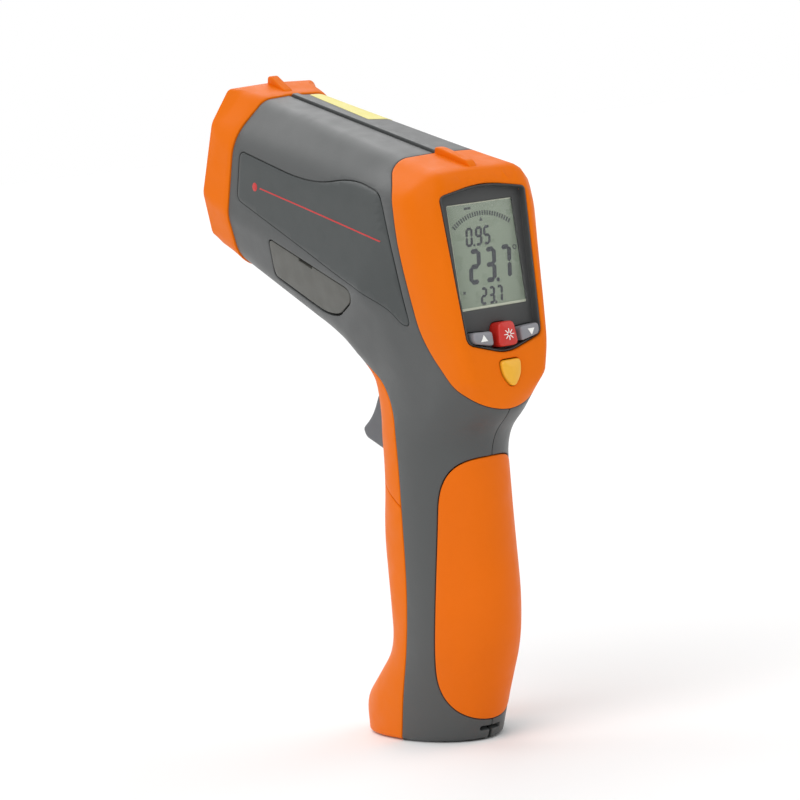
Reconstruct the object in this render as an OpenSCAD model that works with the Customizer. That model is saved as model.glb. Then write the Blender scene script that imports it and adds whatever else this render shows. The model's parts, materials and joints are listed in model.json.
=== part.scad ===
// Pistol-grip infrared thermometer with display, keys, trigger and battery handle.
// Side view sizes are taken along and square to the barrel, from the rear corner of the foot.

/* [Barrel] */
// Nose-up pitch of the barrel when the handle stands on its foot, in degrees
barrel_pitch = 16.5; // [14:0.5:19]
// Height of the barrel's top above the rear foot corner
barrel_height = 193; // [190:0.5:198]
// Reach of the nose ahead of the rear foot corner
nose_reach = 150; // [140:0.5:160]
// Length of the nose cap along the barrel
cap_l = 16; // [14:0.5:18]
// Depth of the barrel at the nose
nose_depth = 61; // [59:0.5:64]
// Slope of the barrel's underside, in degrees
underside_slope = 9; // [8:0.25:10]
// Width across the side creases
barrel_w = 52; // [50:0.5:58]
// Width of the flat along the top
top_flat_w = 28; // [25:0.5:31]
// Width at the foot of the upper slopes
shoulder_w = 49; // [47:0.5:51]
// Drop of the upper slopes
shoulder_drop = 13; // [11:0.5:15]
// Width across the rounded lower edges
lower_w = 40; // [37:0.5:42]
// Rise of the lower edges above the underside
lower_rise = 5; // [4:0.25:6]

/* [Display end] */
// Set-back of the top rear corner, ahead of the rear foot corner
face_setback = 21.4; // [20:0.2:24]
// Lean of the display face from square, in degrees
face_tilt = 19.8; // [18.5:0.1:21]
// Height of the chin under the display
chin_height = 121.5; // [120:0.5:123]
// Width of the body at the display
bezel_w = 52; // [50:0.5:54]
// Width of the flat display face
face_flat_w = 37; // [36:0.5:39]

/* [Handle] */
// Width of the grip
grip_w = 36; // [35:0.5:40]
// Width of the neck above the grip
neck_w = 37; // [36:0.5:40]
// Width of the foot
foot_w = 34.6; // [34:0.2:37]
// Wall of the housing
wall = 2.5; // [2.2:0.1:2.8]
// Thickness of the soft grip panel
grip_t = 1.5; // [1.2:0.1:1.7]

/* [Optics] */
// Diameter of the infrared lens
lens_d = 24; // [20:0.5:25]
// Wall of the lens barrel
lens_wall = 2.4; // [1.8:0.1:2.8]
// Length of the lens barrel
lens_barrel_l = 32; // [28:0.5:34]
// Diameter of a laser module
laser_d = 8; // [6:0.25:8.5]
// Length of a laser module
laser_l = 20; // [16:0.5:22]
// Distance of each laser from the lens axis
laser_offset = 19.4; // [19.1:0.1:19.5]

/* [Display] */
// Width of the display recess at its top
recess_w = 33.4; // [32:0.2:34]
// Width of the display recess at its bottom
recess_foot_w = 30; // [29:0.2:31]
// Length of the display recess
recess_l = 53.6; // [50:0.2:57]
// Depth of the display recess
recess_depth = 3.6; // [3.4:0.1:4]
// Visible width of the liquid crystal display
lcd_w = 26; // [24:0.2:26.4]
// Frame above the liquid crystal display, in the recess
lcd_margin = 4.7; // [4.2:0.1:6]
// Travel of a key
key_travel = 0.8; // [0.5:0.05:0.9]

/* [Trigger] */
// Width of the trigger
trigger_w = 11.6; // [10:0.2:12]
// Diameter of the trigger's pin
trigger_pin_d = 3; // [2.5:0.1:3.4]
// Stroke of the trigger, in degrees
trigger_stroke = 6; // [4:0.25:7]

/* [Fasteners and fittings] */
// Diameter of the housing screws
screw_d = 3; // [2.6:0.1:3.2]
// Diameter of the tripod thread
tripod_d = 6.35; // [6.35:0.1:6.55]
// Depth of the tripod thread
tripod_depth = 9; // [7:0.5:10]
// Diameter of the battery door's hinge pin
door_pin_d = 3; // [2.4:0.1:3.2]
// Length of the socket door
socket_door_l = 50; // [46:0.5:51]
// Height of the socket door
socket_door_h = 14; // [12:0.25:15]
// Thickness of the socket door
socket_door_t = 1.6; // [1.4:0.1:1.8]

/* [Hidden] */
$fn = 48;

grey = [0.39, 0.40, 0.40];
dark = [0.24, 0.25, 0.26];
orange = [0.92, 0.43, 0.10];
steel = [0.72, 0.73, 0.75];
brass = [0.78, 0.62, 0.30];
board_green = [0.10, 0.36, 0.20];

fit = 0.15;
running = 0.05;
seam = 0.15;
apart = 0.3;

// Side view: the back line of the body, then its front line, as corners with blend lengths.
face_run = tan(face_tilt);
chin_y = face_setback - (barrel_height - chin_height) * face_run;
neck_point = [8.8, 104.5];
swell_point = [-6.6, 44];
back_corners = [[nose_reach + 10, barrel_height, 0], [face_setback, barrel_height, 4],
    [chin_y, chin_height, 9], [neck_point.x, neck_point.y, 9],
    [swell_point.x, swell_point.y, 16], [0, 0, 0], [1.5, -10, 0]];
nose_bottom = barrel_height - nose_depth;
underside_run = tan(underside_slope);
nook_y = 63;
nook_z = nose_bottom - (nose_reach - nook_y) * underside_run;
waist_point = [43.6, 20.2];
heel_point = [60.8, -5.5];
front_corners = [[nose_reach + 10, nose_bottom + 10 * underside_run, 0], [nook_y, nook_z, 11],
    [53.4, 80, 10], [53, 60, 9], [waist_point.x, waist_point.y, 8],
    [heel_point.x, heel_point.y, 6], [57, -22, 0]];

// A quadratic blend round the corner q between p and r, starting l from it.
function unit(v) = v / norm(v);
function blend(p, q, r, l, n) =
    let (a = q + unit(p - q) * min(l, norm(p - q) * 0.48),
        b = q + unit(r - q) * min(l, norm(r - q) * 0.48))
    [for (i = [0:n]) let (f = i / n) (1 - f) * (1 - f) * a + 2 * f * (1 - f) * q + f * f * b];
function flat(p) = [p.x, p.y];
function rounded_line(c, n) = concat([flat(c[0])],
    [for (i = [1:len(c) - 2]) each (c[i].z > 0
        ? blend(flat(c[i - 1]), flat(c[i]), flat(c[i + 1]), c[i].z, n) : [flat(c[i])])],
    [flat(c[len(c) - 1])]);
function rounded_loop(c, n) = let (k = len(c)) [for (i = [0:k - 1]) each (c[i].z > 0
    ? blend(flat(c[(i + k - 1) % k]), flat(c[i]), flat(c[(i + 1) % k]), c[i].z, n) : [flat(c[i])])];
back_line = rounded_line(back_corners, 6);
front_line = rounded_line(front_corners, 6);

// Sections stand square in the barrel, fan about the pivot and lie flat in the handle.
pivot = [86, 104];
turn = 90 - barrel_pitch;
up_dir = [sin(barrel_pitch), cos(barrel_pitch)];
pivot_rise = pivot * up_dir;
ahead = 40;
function level(z) = turn + pivot_rise - z;
function along(y) = pivot.x - y;
function section_dir(q) = q <= 0 ? [0, 1] : q <= turn ? [cos(90 + q), sin(90 + q)]
    : [-cos(barrel_pitch), sin(barrel_pitch)];
function section_origin(q) = q <= 0 ? [pivot.x - q, pivot.y] : q <= turn ? pivot
    : pivot - (q - turn) * up_dir - ahead * section_dir(q);
function hits(o, e, line) = [for (i = [0:len(line) - 2])
    let (d = line[i + 1] - line[i], w = line[i] - o, den = cross(e, d))
    if (abs(den) > 1e-9)
        let (s = cross(w, e) / den)
        if (s >= -1e-6 && s <= 1 + 1e-6) cross(w, d) / den];

// How the section changes from the nose to the foot.
foot_q = level(0);
half_width_keys = [[along(nose_reach), barrel_w / 2], [0, barrel_w / 2 - 0.3], [35, bezel_w / 2],
    [58, bezel_w / 2 - 3.6], [turn, bezel_w / 2 - 6.8], [turn + 14, neck_w / 2 - 0.4],
    [turn + 28, neck_w / 2 - 0.8], [level(60), grip_w / 2], [level(14), grip_w / 2], [foot_q, foot_w / 2]];
widest_keys = [[along(nose_reach), 0.36], [0, 0.385], [40, 0.41], [54, 0.5], [turn, 0.46],
    [level(90), 0.44], [foot_q, 0.46]];
edge_keys = [[44, 1], [58, 0.72], [turn, 0.4], [turn + 9, 0.15], [turn + 20, 0]];
face_keys = [[66, 1], [turn, 0.85], [turn + 6, 0.5], [turn + 13, 0.15], [turn + 20, 0]];
flat_keys = [[along(nose_reach), top_flat_w / 2 - 1.8], [20, top_flat_w / 2 + 0.8],
    [37, face_flat_w / 2 - 1.7], [42, face_flat_w / 2], [62, face_flat_w / 2 - 0.8],
    [turn, face_flat_w / 2 - 2.5], [turn + 12, face_flat_w / 2 - 9]];
drop_keys = [[20, shoulder_drop], [42, 8], [turn, 8]];
roof = 0.6;
oval_angles = [0, 20, 28, 36, 50, 57, 64, 71, 84, 90, 96, 118, 130, 142, 154, 166, 180];
face_points = 7;
back_power = 2;
front_power = 2.5;

function oval(t_back, t_front, w, c, a) =
    let (t_mid = t_front + c * (t_back - t_front), k = 2 / (a < 90 ? back_power : front_power))
    a == 0 ? [0, t_back] : a == 180 ? [0, t_front] :
    [w * pow(sin(a), k), t_mid + (a < 90 ? t_back - t_mid : t_front - t_mid) * pow(abs(cos(a)), k)];
function eased(p, l) = concat([p[0]], blend(p[0], p[1], p[2], l[0], 2), blend(p[1], p[2], p[3], l[1], 3),
    blend(p[2], p[3], p[4], l[2], 2), blend(p[3], p[4], p[5], l[3], 4), [p[5]]);
function faceted(t_back, t_front, w, c, a, s, b, d) =
    eased([[0, t_back], [a, t_back - roof], [b, t_back - s], [w, t_front + c * (t_back - t_front)],
        [d, t_front + lower_rise], [0, t_front]], [3, 7, 2.5, 8]);
function half_section(q, inset) =
    let (o = section_origin(q), e = section_dir(q), t_back = max(hits(o, e, back_line)) - inset,
        t_front = min(hits(o, e, front_line)) + inset, w = lookup(q, half_width_keys) - inset,
        c = lookup(q, widest_keys), b = min(shoulder_w / 2, w + inset - 1.2),
        f = faceted(t_back, t_front, w, c, lookup(q, flat_keys) - inset * 0.45, lookup(q, drop_keys),
            b - inset * 0.9, min(lower_w / 2, w + inset - 3) - inset * 0.8))
    [for (i = [0:len(f) - 1]) let (m = lookup(q, i <= face_points ? face_keys : edge_keys))
        m * f[i] + (1 - m) * oval(t_back, t_front, w, c, oval_angles[i])];
function both_sides(h) = concat(h, [for (i = [len(h) - 2:-1:1]) [-h[i].x, h[i].y]]);
function ring(q, inset) =
    let (o = section_origin(q), e = section_dir(q))
    [for (p = both_sides(half_section(q, inset))) [p.x, o.x + p.y * e.x, o.y + p.y * e.y]];

body_stations = [for (q = [-56, -34, -12, 0, 10, 19, 27, 32, 34.2, 36, 37.8, 40, 45, 51, 58, 66, turn,
    turn + 4, turn + 8, turn + 11, turn + 15, turn + 20, turn + 26, turn + 33, turn + 42, turn + 52,
    turn + 62, turn + 72, turn + 82, turn + 91, turn + 97, turn + 102, turn + 107, turn + 113]) q];
foot_round = [[2, 0], [0.7, 0.5], [0, 1.8]];
cavity_stations = [-62, -30, 0, 18, 32, 37, 46, 58, turn, turn + 8, turn + 14, turn + 22, turn + 34,
    turn + 52, turn + 72, turn + 92, turn + 106];
floor_t = 3;

module loft(rings) {
    n = len(rings[0]);
    last = len(rings) - 1;
    sides = [for (k = [0:last - 1], i = [0:n - 1]) let (a = k * n + i, b = k * n + (i + 1) % n)
        each [[a, b, a + n], [b, b + n, a + n]]];
    polyhedron([for (r = rings) each r],
        concat([[for (i = [n - 1:-1:0]) i]], sides, [[for (i = [0:n - 1]) last * n + i]]));
}

// The whole body's outer form, and forms set inside it.
module body_skin() {
    loft(concat([for (q = body_stations) ring(q, 0)], [for (s = foot_round) ring(level(s[0]), s[1])]));
}
module inner_skin(inset) {
    loft(concat([for (q = cavity_stations) ring(q, inset)], [ring(level(floor_t + inset - wall), inset)]));
}
module panel_skin(inset) {
    loft(concat([for (q = body_stations) ring(q, inset)], [ring(level(2), inset), ring(level(-1), inset)]));
}
// A moulded skin is one continuous surface.
module moulded() resize([0, 0, 0]) children();

module in_foot() translate([0, -foot_center, 0]) children();
module in_barrel() in_foot() rotate([barrel_pitch, 0, 0]) children();
module across(half) rotate([90, 0, 90]) linear_extrude(2 * half, center = true) children();
module across_from(x0, x1) translate([x0, 0, 0]) rotate([90, 0, 90]) linear_extrude(x1 - x0) children();
module cross_pin(p, d, x0, x1) translate([x0, p.x, p.y]) rotate([0, 90, 0]) cylinder(d = d, h = x1 - x0);
module side_half(side) translate([side < 0 ? -60 : 0, -60, -60]) cube([60, 260, 300]);
reach = 60;
foot_center = 16;

// Display face: x across, y up the face, z out of it, from the middle of the recess.
face_mid = 32.2;
face_origin = [face_setback - face_mid * sin(face_tilt), barrel_height - face_mid * cos(face_tilt)];
module on_face() in_barrel() translate([0, face_origin.x, face_origin.y])
    rotate([90 - face_tilt, 0, 0]) children();

// Dividing lines seen from the side.
cap_y = nose_reach - cap_l;
tab_front = 45.6;
bezel_corners = [[tab_front, 220, 0], [tab_front, 189, 2], [37.5, 182.5, 8], [17, 138.5, 16],
    [1, 117.2, 9], [-30, 113, 0], [-60, 113, 0], [-60, 220, 0]];
strip_corners = [[90, 126, 0], [41, 115.4, 13], [24.8, 40, 22], [28, -30, 0], [90, -30, 0]];
grip_corners = [[-30, 103, 0], [18.5, 103, 20], [10.6, 11.5, 13], [-30, 11.5, 0]];
door_split = [53, 81.5];
split_slope = 16;
module below_split(gap) translate([-reach, door_split.x, door_split.y + gap]) rotate([split_slope, 0, 0])
    translate([0, -2 * reach, -3 * reach]) cube([2 * reach, 4 * reach, 3 * reach]);
module bezel_block(grow) across(reach) offset(delta = grow) polygon(rounded_loop(bezel_corners, 6));
module strip_block(grow) across(reach) offset(delta = grow) polygon(rounded_loop(strip_corners, 6));
module grip_block(grow) across(reach) offset(delta = grow) polygon(rounded_loop(grip_corners, 6));
tongue_half = 12.4;
tongue_front = 40;
tongue_top = 7;
module tongue_block() rotate([-barrel_pitch, 0, 0]) translate([-tongue_half, 10, -5])
    cube([2 * tongue_half, tongue_front - 10, tongue_top + 5]);

// Places of screws and pins, seen from the side.
screw_points = [[cap_y - 22, 185.5], [60, 184], [cap_y - 17, 139], [33, 124], [24, 88], [8.4, 18.4]];
screw_seat = 8;
screw_l = 16;
screw_head_d = 5.6;
screw_head_h = 2.2;
boss_d = 7;
head_boss_d = 9;
pilot_d = screw_d - 0.6;
trigger_pivot = [51.5, 122];
trigger_pin_l = 27;
switch_mid = [44.5, 96];
switch_w = 12.8;
door_pivot = [50, -6];
hinge_at = [door_pivot.x * cos(barrel_pitch) - door_pivot.y * sin(barrel_pitch), door_pivot * up_dir];
board_y = [cap_y - 78, cap_y - 34];
board_points = [for (z = [170, 154]) for (y = board_y) [y, z]];
board_x = -9.6;
board_t = 1.6;

battery_size = [17.5, 26.5, 46.4];
battery_y = 25;
battery_z = 23.5;
rib_y = [18, 34];
rib_t = 3;
module battery_ribs(side) {
    gap = 0.2;
    for (z = [battery_z + 9, battery_z + 35])
        translate([side > 0 ? battery_size.x / 2 + gap : -reach, rib_y[0], z])
            cube([reach - battery_size.x / 2 - gap, rib_y[1] - rib_y[0], rib_t]);
    translate([side > 0 ? 4 : -reach, rib_y[0], battery_z - rib_t - gap])
        cube([reach - 4, rib_y[1] - rib_y[0], rib_t]);
}

// Bosses inside a half: left ones take the screws' threads, right ones their heads.
module half_bosses(side) {
    d = side < 0 ? boss_d : head_boss_d;
    for (p = screw_points) cross_pin(p, d, side < 0 ? -reach : 0, side < 0 ? 0 : reach, $fn = 20);
    cross_pin(trigger_pivot, trigger_pin_d + 4, side < 0 ? -reach : trigger_w / 2 + apart,
        side < 0 ? -trigger_w / 2 - apart : reach, $fn = 20);
    battery_ribs(side);
    if (side < 0) {
        for (p = board_points) cross_pin(p, 6, -reach, board_x, $fn = 16);
        socket_bed();
    }
}

// Socket door: x rearward, y up the bevel, z out of it.
door_y = cap_y - 51;
door_z = 140.8;
door_slope = 4.8;
function bevel_x(z) = let (h = half_section(along(door_y), 0), o = section_origin(along(door_y)).y)
    lookup(z, [for (i = [len(h) - 1:-1:8]) [o + h[i].y, h[i].x]]);
door_x = -bevel_x(door_z);
bevel_drop = 4;
bevel_dir = let (a = bevel_x(door_z + bevel_drop), b = bevel_x(door_z - bevel_drop))
    unit([b - a, 2 * bevel_drop]);
module on_bevel() multmatrix([[0, bevel_dir.x, -bevel_dir.y, door_x], [-1, 0, 0, door_y],
    [0, bevel_dir.y, bevel_dir.x, door_z], [0, 0, 0, 1]]) rotate([0, 0, -door_slope]) children();
hinge_r = 1.3;
hinge_y = -socket_door_h / 2 + 2;
hinge_z = -1.7;
hinge_end = 4;
hinge_l = socket_door_l - 2 * hinge_end;
socket_pin_d = 1.2;
pin_hold = 2.4;
module door_outline(grow, sill, heel) {
    l = socket_door_l / 2;
    h = socket_door_h / 2;
    offset(delta = grow) polygon(rounded_loop([[-l, -h, sill], [l, -h, heel], [l, h, 5], [-l, h, 2]], 5));
}
bed_t = 3.2;
module socket_bed() on_bevel() translate([0, 0, -socket_door_t - apart - bed_t])
    linear_extrude(bed_t + 3) door_outline(3.2, 2, 2);
module on_hinge(x) on_bevel() translate([x, hinge_y, hinge_z]) rotate([0, 90, 0]) children();

// Half of the housing: wall, bosses and pockets for the fitted panels.
module half_shell(side) moulded() difference() {
    intersection() {
        difference() {
            body_skin();
            difference() {
                inner_skin(wall);
                half_bosses(side);
            }
        }
        side_half(side);
    }
    translate([-reach, cap_y, 0]) cube([2 * reach, 60, 260]);
    bezel_block(seam);
    difference() {
        strip_block(seam);
        tongue_block();
    }
    difference() {
        grip_block(seam);
        panel_skin(grip_t);
    }
}

// Spigot that carries the nose cap and clamps the front plate.
cap_wall = 2.6;
spigot_back = cap_y - 4;
plate_back = nose_reach - 7.5;
plate_t = 2.5;
spigot_inset = cap_wall + fit;
spigot_t = 2;
function flat_ring(y, inset) = [for (p = ring(along(y), inset)) [p.x, p.z]];
module square_to_barrel(y0, y1) translate([0, y1, 0]) rotate([90, 0, 0]) linear_extrude(y1 - y0) children();
module spigot(side) intersection() {
    square_to_barrel(spigot_back, plate_back - seam) difference() {
        polygon(flat_ring(spigot_back, spigot_inset));
        polygon(flat_ring(spigot_back, spigot_inset + spigot_t));
    }
    side_half(side);
}
module left_bores() {
    for (p = screw_points) cross_pin(p, pilot_d, -12, 1);
    cross_pin(trigger_pivot, trigger_pin_d, -trigger_pin_l / 2, 0);
    for (p = board_points) cross_pin(p, 1.6, -17, board_x + 1);
}
module right_bores() {
    for (p = screw_points) {
        cross_pin(p, screw_d + 2 * fit, -1, screw_seat + 1);
        cross_pin(p, screw_head_d + 0.6, screw_seat, reach);
    }
    cross_pin(trigger_pivot, trigger_pin_d, 0, trigger_pin_l / 2);
}
insert_d = 9.5;
slot_w = 7.2;
slot_h = 1.5;
slot_z = 7.6;
module strap_slot() rotate([-barrel_pitch, 0, 0]) translate([-slot_w / 2, -12, slot_z - slot_h / 2])
    cube([slot_w, 17, slot_h]);
module insert_hole() rotate([-barrel_pitch, 0, 0]) translate([0, foot_center, -1])
    cylinder(d = insert_d + 2 * fit, h = floor_t + 6);
rib_w = 2.4;
rib_h = 0.8;
module top_rib(grow) translate([-rib_w / 2 - grow, tab_front + seam, barrel_height - 1.4 - grow])
    cube([rib_w + 2 * grow, cap_y - tab_front - 2 * seam, rib_h + 1.4 + grow]);

module left_housing() color(grey) in_barrel() difference() {
    moulded() difference() {
        union() {
            half_shell(-1);
            spigot(-1);
        }
        top_rib(0.05);
        strap_slot();
        on_bevel() translate([0, 0, -socket_door_t - apart]) linear_extrude(9) door_outline(apart, 0.4, 1.2);
        on_hinge(-hinge_l / 2 - apart) cylinder(r = hinge_r + apart, h = hinge_l + 2 * apart, $fn = 16);
        socket_mouths();
    }
    left_bores();
    insert_hole();
    for (s = [-1, 1]) on_hinge(s * (hinge_l + pin_hold) / 2)
        cylinder(d = socket_pin_d, h = pin_hold + 2 * apart, center = true);
}
module right_housing() color(grey) in_barrel() difference() {
    moulded() difference() {
        union() {
            half_shell(1);
            spigot(1);
            top_rib(0);
        }
        strap_slot();
    }
    right_bores();
    insert_hole();
}

// Nose: hood with a sight tab, and the plate, lens and lasers that it frames.
rim = eased([[0, barrel_height + 1.1], [top_flat_w / 2 + 3.6, barrel_height + 0.4],
    [shoulder_w / 2 - 0.5, barrel_height - 11], [barrel_w / 2 + 1, nose_bottom + 25],
    [lower_w / 2 + 2.6, nose_bottom + 9], [0, nose_bottom - 1]], [1.5, 1.5, 1.5, 2]);
// Along the hood, how far it stands out and how far it has turned from the body's section to its rim.
cap_rings = [[cap_y + seam, 0.5, 0], [cap_y + 6, 0.7, 0.35], [nose_reach - 2.6, 1, 0.85],
    [nose_reach - 0.7, 0, 1], [nose_reach, 0, 0.75]];
function cap_ring(y, out, turned) =
    let (h = half_section(along(y), -out))
    [for (p = both_sides([for (i = [0:len(h) - 1])
        (1 - turned) * (h[i] + [0, pivot.y]) + turned * rim[i]])) [p.x, y, p.y]];
hood_inset = 4.4;
ledge_y = plate_back + plate_t;
sight_w = 3.4;
module nose_cap() color(orange) in_barrel() moulded() difference() {
    union() {
        loft([for (i = [len(cap_rings) - 1:-1:0]) let (r = cap_rings[i]) cap_ring(r[0], r[1], r[2])]);
        across(sight_w / 2) polygon([[cap_y + 2, barrel_height - 1], [cap_y + 3.2, barrel_height + 0.9],
            [nose_reach - 2.5, barrel_height + 4], [nose_reach - 1, barrel_height + 3.4],
            [nose_reach - 1, barrel_height - 1]]);
    }
    square_to_barrel(cap_y - 2, ledge_y) polygon(flat_ring(spigot_back, cap_wall));
    square_to_barrel(ledge_y - 1, nose_reach + 5) polygon(flat_ring(cap_y, hood_inset));
}
axis_z = nose_bottom + 32.5;
module on_axis(y) in_barrel() translate([0, y, axis_z]) rotate([-90, 0, 0]) children();
lens_hole_d = lens_d + 2 * lens_wall;
module laser_places() for (s = [-1, 1]) in_barrel() translate([0, 0, s * laser_offset]) children();
module front_plate() color(dark) difference() {
    in_barrel() square_to_barrel(plate_back, ledge_y - 0.05) polygon(flat_ring(spigot_back, spigot_inset));
    on_axis(plate_back - 1) cylinder(d = lens_d - 1, h = plate_t + 2);
    laser_places() translate([0, plate_back - 1, axis_z]) rotate([-90, 0, 0])
        cylinder(d = laser_d, h = plate_t + 2);
}
lens_back = 7;
module lens_barrel() color(dark) on_axis(plate_back - lens_barrel_l) difference() {
    union() {
        cylinder(d = lens_hole_d, h = lens_barrel_l);
        translate([0, 0, lens_barrel_l - 2.5]) cylinder(d = lens_hole_d + 1, h = 2.5);
    }
    translate([0, 0, -1]) cylinder(d = lens_d - 3, h = lens_barrel_l + 2);
    translate([0, 0, lens_barrel_l - lens_back]) cylinder(d = lens_d + 2 * running, h = lens_back + 1);
}
lens_edge = 1.6;
lens_crown = 1.8;
module ir_lens() color([0.55, 0.55, 0.60]) on_axis(plate_back - lens_back) {
    crown_r = lens_d / 2 - 1.5;
    ball = (crown_r * crown_r + lens_crown * lens_crown) / (2 * lens_crown);
    cylinder(d = lens_d, h = lens_edge);
    intersection() {
        translate([0, 0, lens_edge + lens_crown - ball]) sphere(r = ball, $fn = 96);
        translate([0, 0, lens_edge - 0.2]) cylinder(r = crown_r, h = lens_crown + 1);
    }
}
module lens_ring() color(dark) on_axis(plate_back - lens_back + lens_edge) difference() {
    cylinder(d = lens_d, h = lens_back - lens_edge - 0.3);
    translate([0, 0, -1]) cylinder(d1 = lens_d - 4, d2 = lens_d - 2.4, h = lens_back + 1, $fn = 64);
    translate([0, 0, -0.01]) cylinder(d = lens_d - 2.6, h = lens_crown + 0.2);
}
sensor_t = 1.6;
can_d = 8.2;
can_h = 4.6;
module sensor_board() color(board_green) on_axis(plate_back - lens_barrel_l - sensor_t)
    translate([-lens_hole_d / 2, -lens_hole_d / 2, 0]) cube([lens_hole_d, lens_hole_d, sensor_t]);
module thermopile() color(steel) on_axis(plate_back - lens_barrel_l) {
    cylinder(d = can_d + 1, h = 0.8);
    cylinder(d = can_d, h = can_h);
}
laser_front = plate_back + plate_t - 1;
module laser_modules() color(brass) laser_places() translate([0, laser_front - laser_l, axis_z])
    rotate([-90, 0, 0]) difference() {
        cylinder(d = laser_d, h = laser_l);
        translate([0, 0, laser_l - 1.6]) cylinder(d = laser_d - 2.6, h = 2);
    }
module laser_lenses() color([0.55, 0.15, 0.15]) laser_places() translate([0, laser_front - 1.6, axis_z])
    rotate([-90, 0, 0]) cylinder(d = laser_d - 2.6, h = 1.2);

// Display end, all placed on the face.
bezel_wall = 3;
bezel_tab_w = 3;
function recess_corners() = [[-recess_foot_w / 2, -recess_l / 2 + 3.4, 4], [0, -recess_l / 2 - 0.6, 12],
    [recess_foot_w / 2, -recess_l / 2 + 3.4, 4], [recess_w / 2, recess_l / 2 - 2.6, 3],
    [0, recess_l / 2 + 1.4, 16], [-recess_w / 2, recess_l / 2 - 2.6, 3]];
module recess_outline(grow) offset(delta = grow) polygon(rounded_loop(recess_corners(), 5));
mode_gap = 7.6;
mode_v = -recess_l / 2 - mode_gap;
mode_w = 8.6;
mode_h = 9.4;
module mode_outline(grow) translate([0, mode_v]) offset(delta = grow)
    polygon(rounded_loop([[-mode_w / 2, mode_h / 2, 1.6], [-mode_w / 2 + 0.8, -1, 2.4],
        [0, -mode_h / 2 - 1, 2.6], [mode_w / 2 - 0.8, -1, 2.4], [mode_w / 2, mode_h / 2, 1.6]], 4));
laser_key_w = 7.4;
laser_key_h = 9;
key_sill = 1.7;
key_gap = 3.8;
key_v = -recess_l / 2 + key_sill + laser_key_h / 2;
lcd_l = recess_l - lcd_margin - key_gap - laser_key_h - key_sill;
lcd_v = recess_l / 2 - lcd_margin - lcd_l / 2;
key_u = 9.3;
key_w = 7.6;
key_h = 5.4;
module side_key_outline(side, grow) translate([side * key_u, key_v]) offset(delta = grow)
    polygon(rounded_loop([[-side * key_w / 2, -key_h / 2 - 0.5, 1.2],
        [side * key_w / 2, -key_h / 2 + 1.2, 1.8], [side * key_w / 2, key_h / 2 + 0.3, 1.2],
        [-side * key_w / 2, key_h / 2, 1.2]], 4));
module laser_key_outline(grow) translate([0, key_v]) offset(delta = grow)
    polygon(rounded_loop([[-laser_key_w / 2, -laser_key_h / 2 + 0.8, 2],
        [laser_key_w / 2, -laser_key_h / 2 + 0.8, 2], [laser_key_w / 2 - 0.5, laser_key_h / 2, 2],
        [-laser_key_w / 2 + 0.5, laser_key_h / 2, 2]], 4));
// Lip of a panel that plugs in behind the wall of the halves.
lip_reach = 3;
lip_t = 1.4;
module lip_skin() difference() {
    inner_skin(wall + fit);
    inner_skin(wall + fit + lip_t);
}
module rear_bezel() color(orange) moulded() difference() {
    union() {
        in_barrel() intersection() {
            difference() {
                body_skin();
                inner_skin(bezel_wall);
            }
            bezel_block(0);
        }
        in_barrel() intersection() {
            lip_skin();
            difference() {
                bezel_block(lip_reach);
                bezel_block(-lip_reach);
            }
        }
        in_barrel() across(bezel_tab_w / 2) polygon([[tab_front, barrel_height - 1],
            [tab_front, barrel_height + 1.8], [43, barrel_height + 2.2],
            [27, barrel_height + 1.6], [24.6, barrel_height - 1]]);
    }
    on_face() translate([0, 0, -12]) linear_extrude(30) recess_outline(0);
    on_face() translate([0, 0, -12]) linear_extrude(30) mode_outline(0.25);
}
liner_t = 1.2;
liner_floor = 1.4;
flange = 1.4;
flange_w = 20;
flange_z = -bezel_wall - 0.5;
rim_drop = 0.9;
window_lap = 1.4;
stack_z = -recess_depth - liner_floor;
module display_frame() color(dark) on_face() difference() {
    union() {
        translate([0, 0, stack_z]) linear_extrude(-stack_z - rim_drop) recess_outline(-fit);
        translate([0, 0, stack_z]) linear_extrude(flange_z - stack_z) intersection() {
            recess_outline(flange);
            translate([-flange_w / 2, -recess_l]) square([flange_w, recess_l]);
        }
    }
    translate([0, 0, -recess_depth]) linear_extrude(recess_depth + 1) recess_outline(-fit - liner_t);
    translate([-lcd_w / 2, lcd_v - lcd_l / 2, -20]) cube([lcd_w, lcd_l, 30]);
    translate([0, 0, -20]) linear_extrude(40) side_key_outline(-1, 0.25);
    translate([0, 0, -20]) linear_extrude(40) side_key_outline(1, 0.25);
    translate([0, 0, -20]) linear_extrude(40) laser_key_outline(0.25);
}
window_t = 1;
lcd_t = 2.8;
board_z = stack_z - window_t - lcd_t;
module display_window() color([0.8, 0.85, 0.85, 0.4]) on_face()
    translate([-lcd_w / 2 - window_lap, lcd_v - lcd_l / 2 - window_lap, stack_z - window_t])
        cube([lcd_w + 2 * window_lap, lcd_l + 2 * window_lap, window_t]);
module lcd_panel() color([0.63, 0.66, 0.58]) on_face()
    translate([-lcd_w / 2 - 2, lcd_v - lcd_l / 2 - 1.6, stack_z - window_t - lcd_t])
        cube([lcd_w + 4, lcd_l + 3.2, lcd_t]);
display_board_w = 31;
display_board_top = lcd_v + lcd_l / 2 + 2.4;
display_board_bottom = mode_v - 3.6;
tail_w = 12;
function board_edge(s) = [[s * display_board_w / 2, display_board_top],
    [s * display_board_w / 2, -recess_l / 2 + 3.4], [s * tail_w / 2, -recess_l / 2 - 1],
    [s * tail_w / 2, display_board_bottom]];
module display_board() color(board_green) on_face() translate([0, 0, board_z - board_t])
    linear_extrude(board_t) polygon(concat(board_edge(-1), [for (i = [3:-1:0]) board_edge(1)[i]]));
switch_h = 1.6;
switch_side = 4.6;
key_places = [[-key_u, key_v], [0, key_v], [key_u, key_v], [0, mode_v]];
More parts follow.
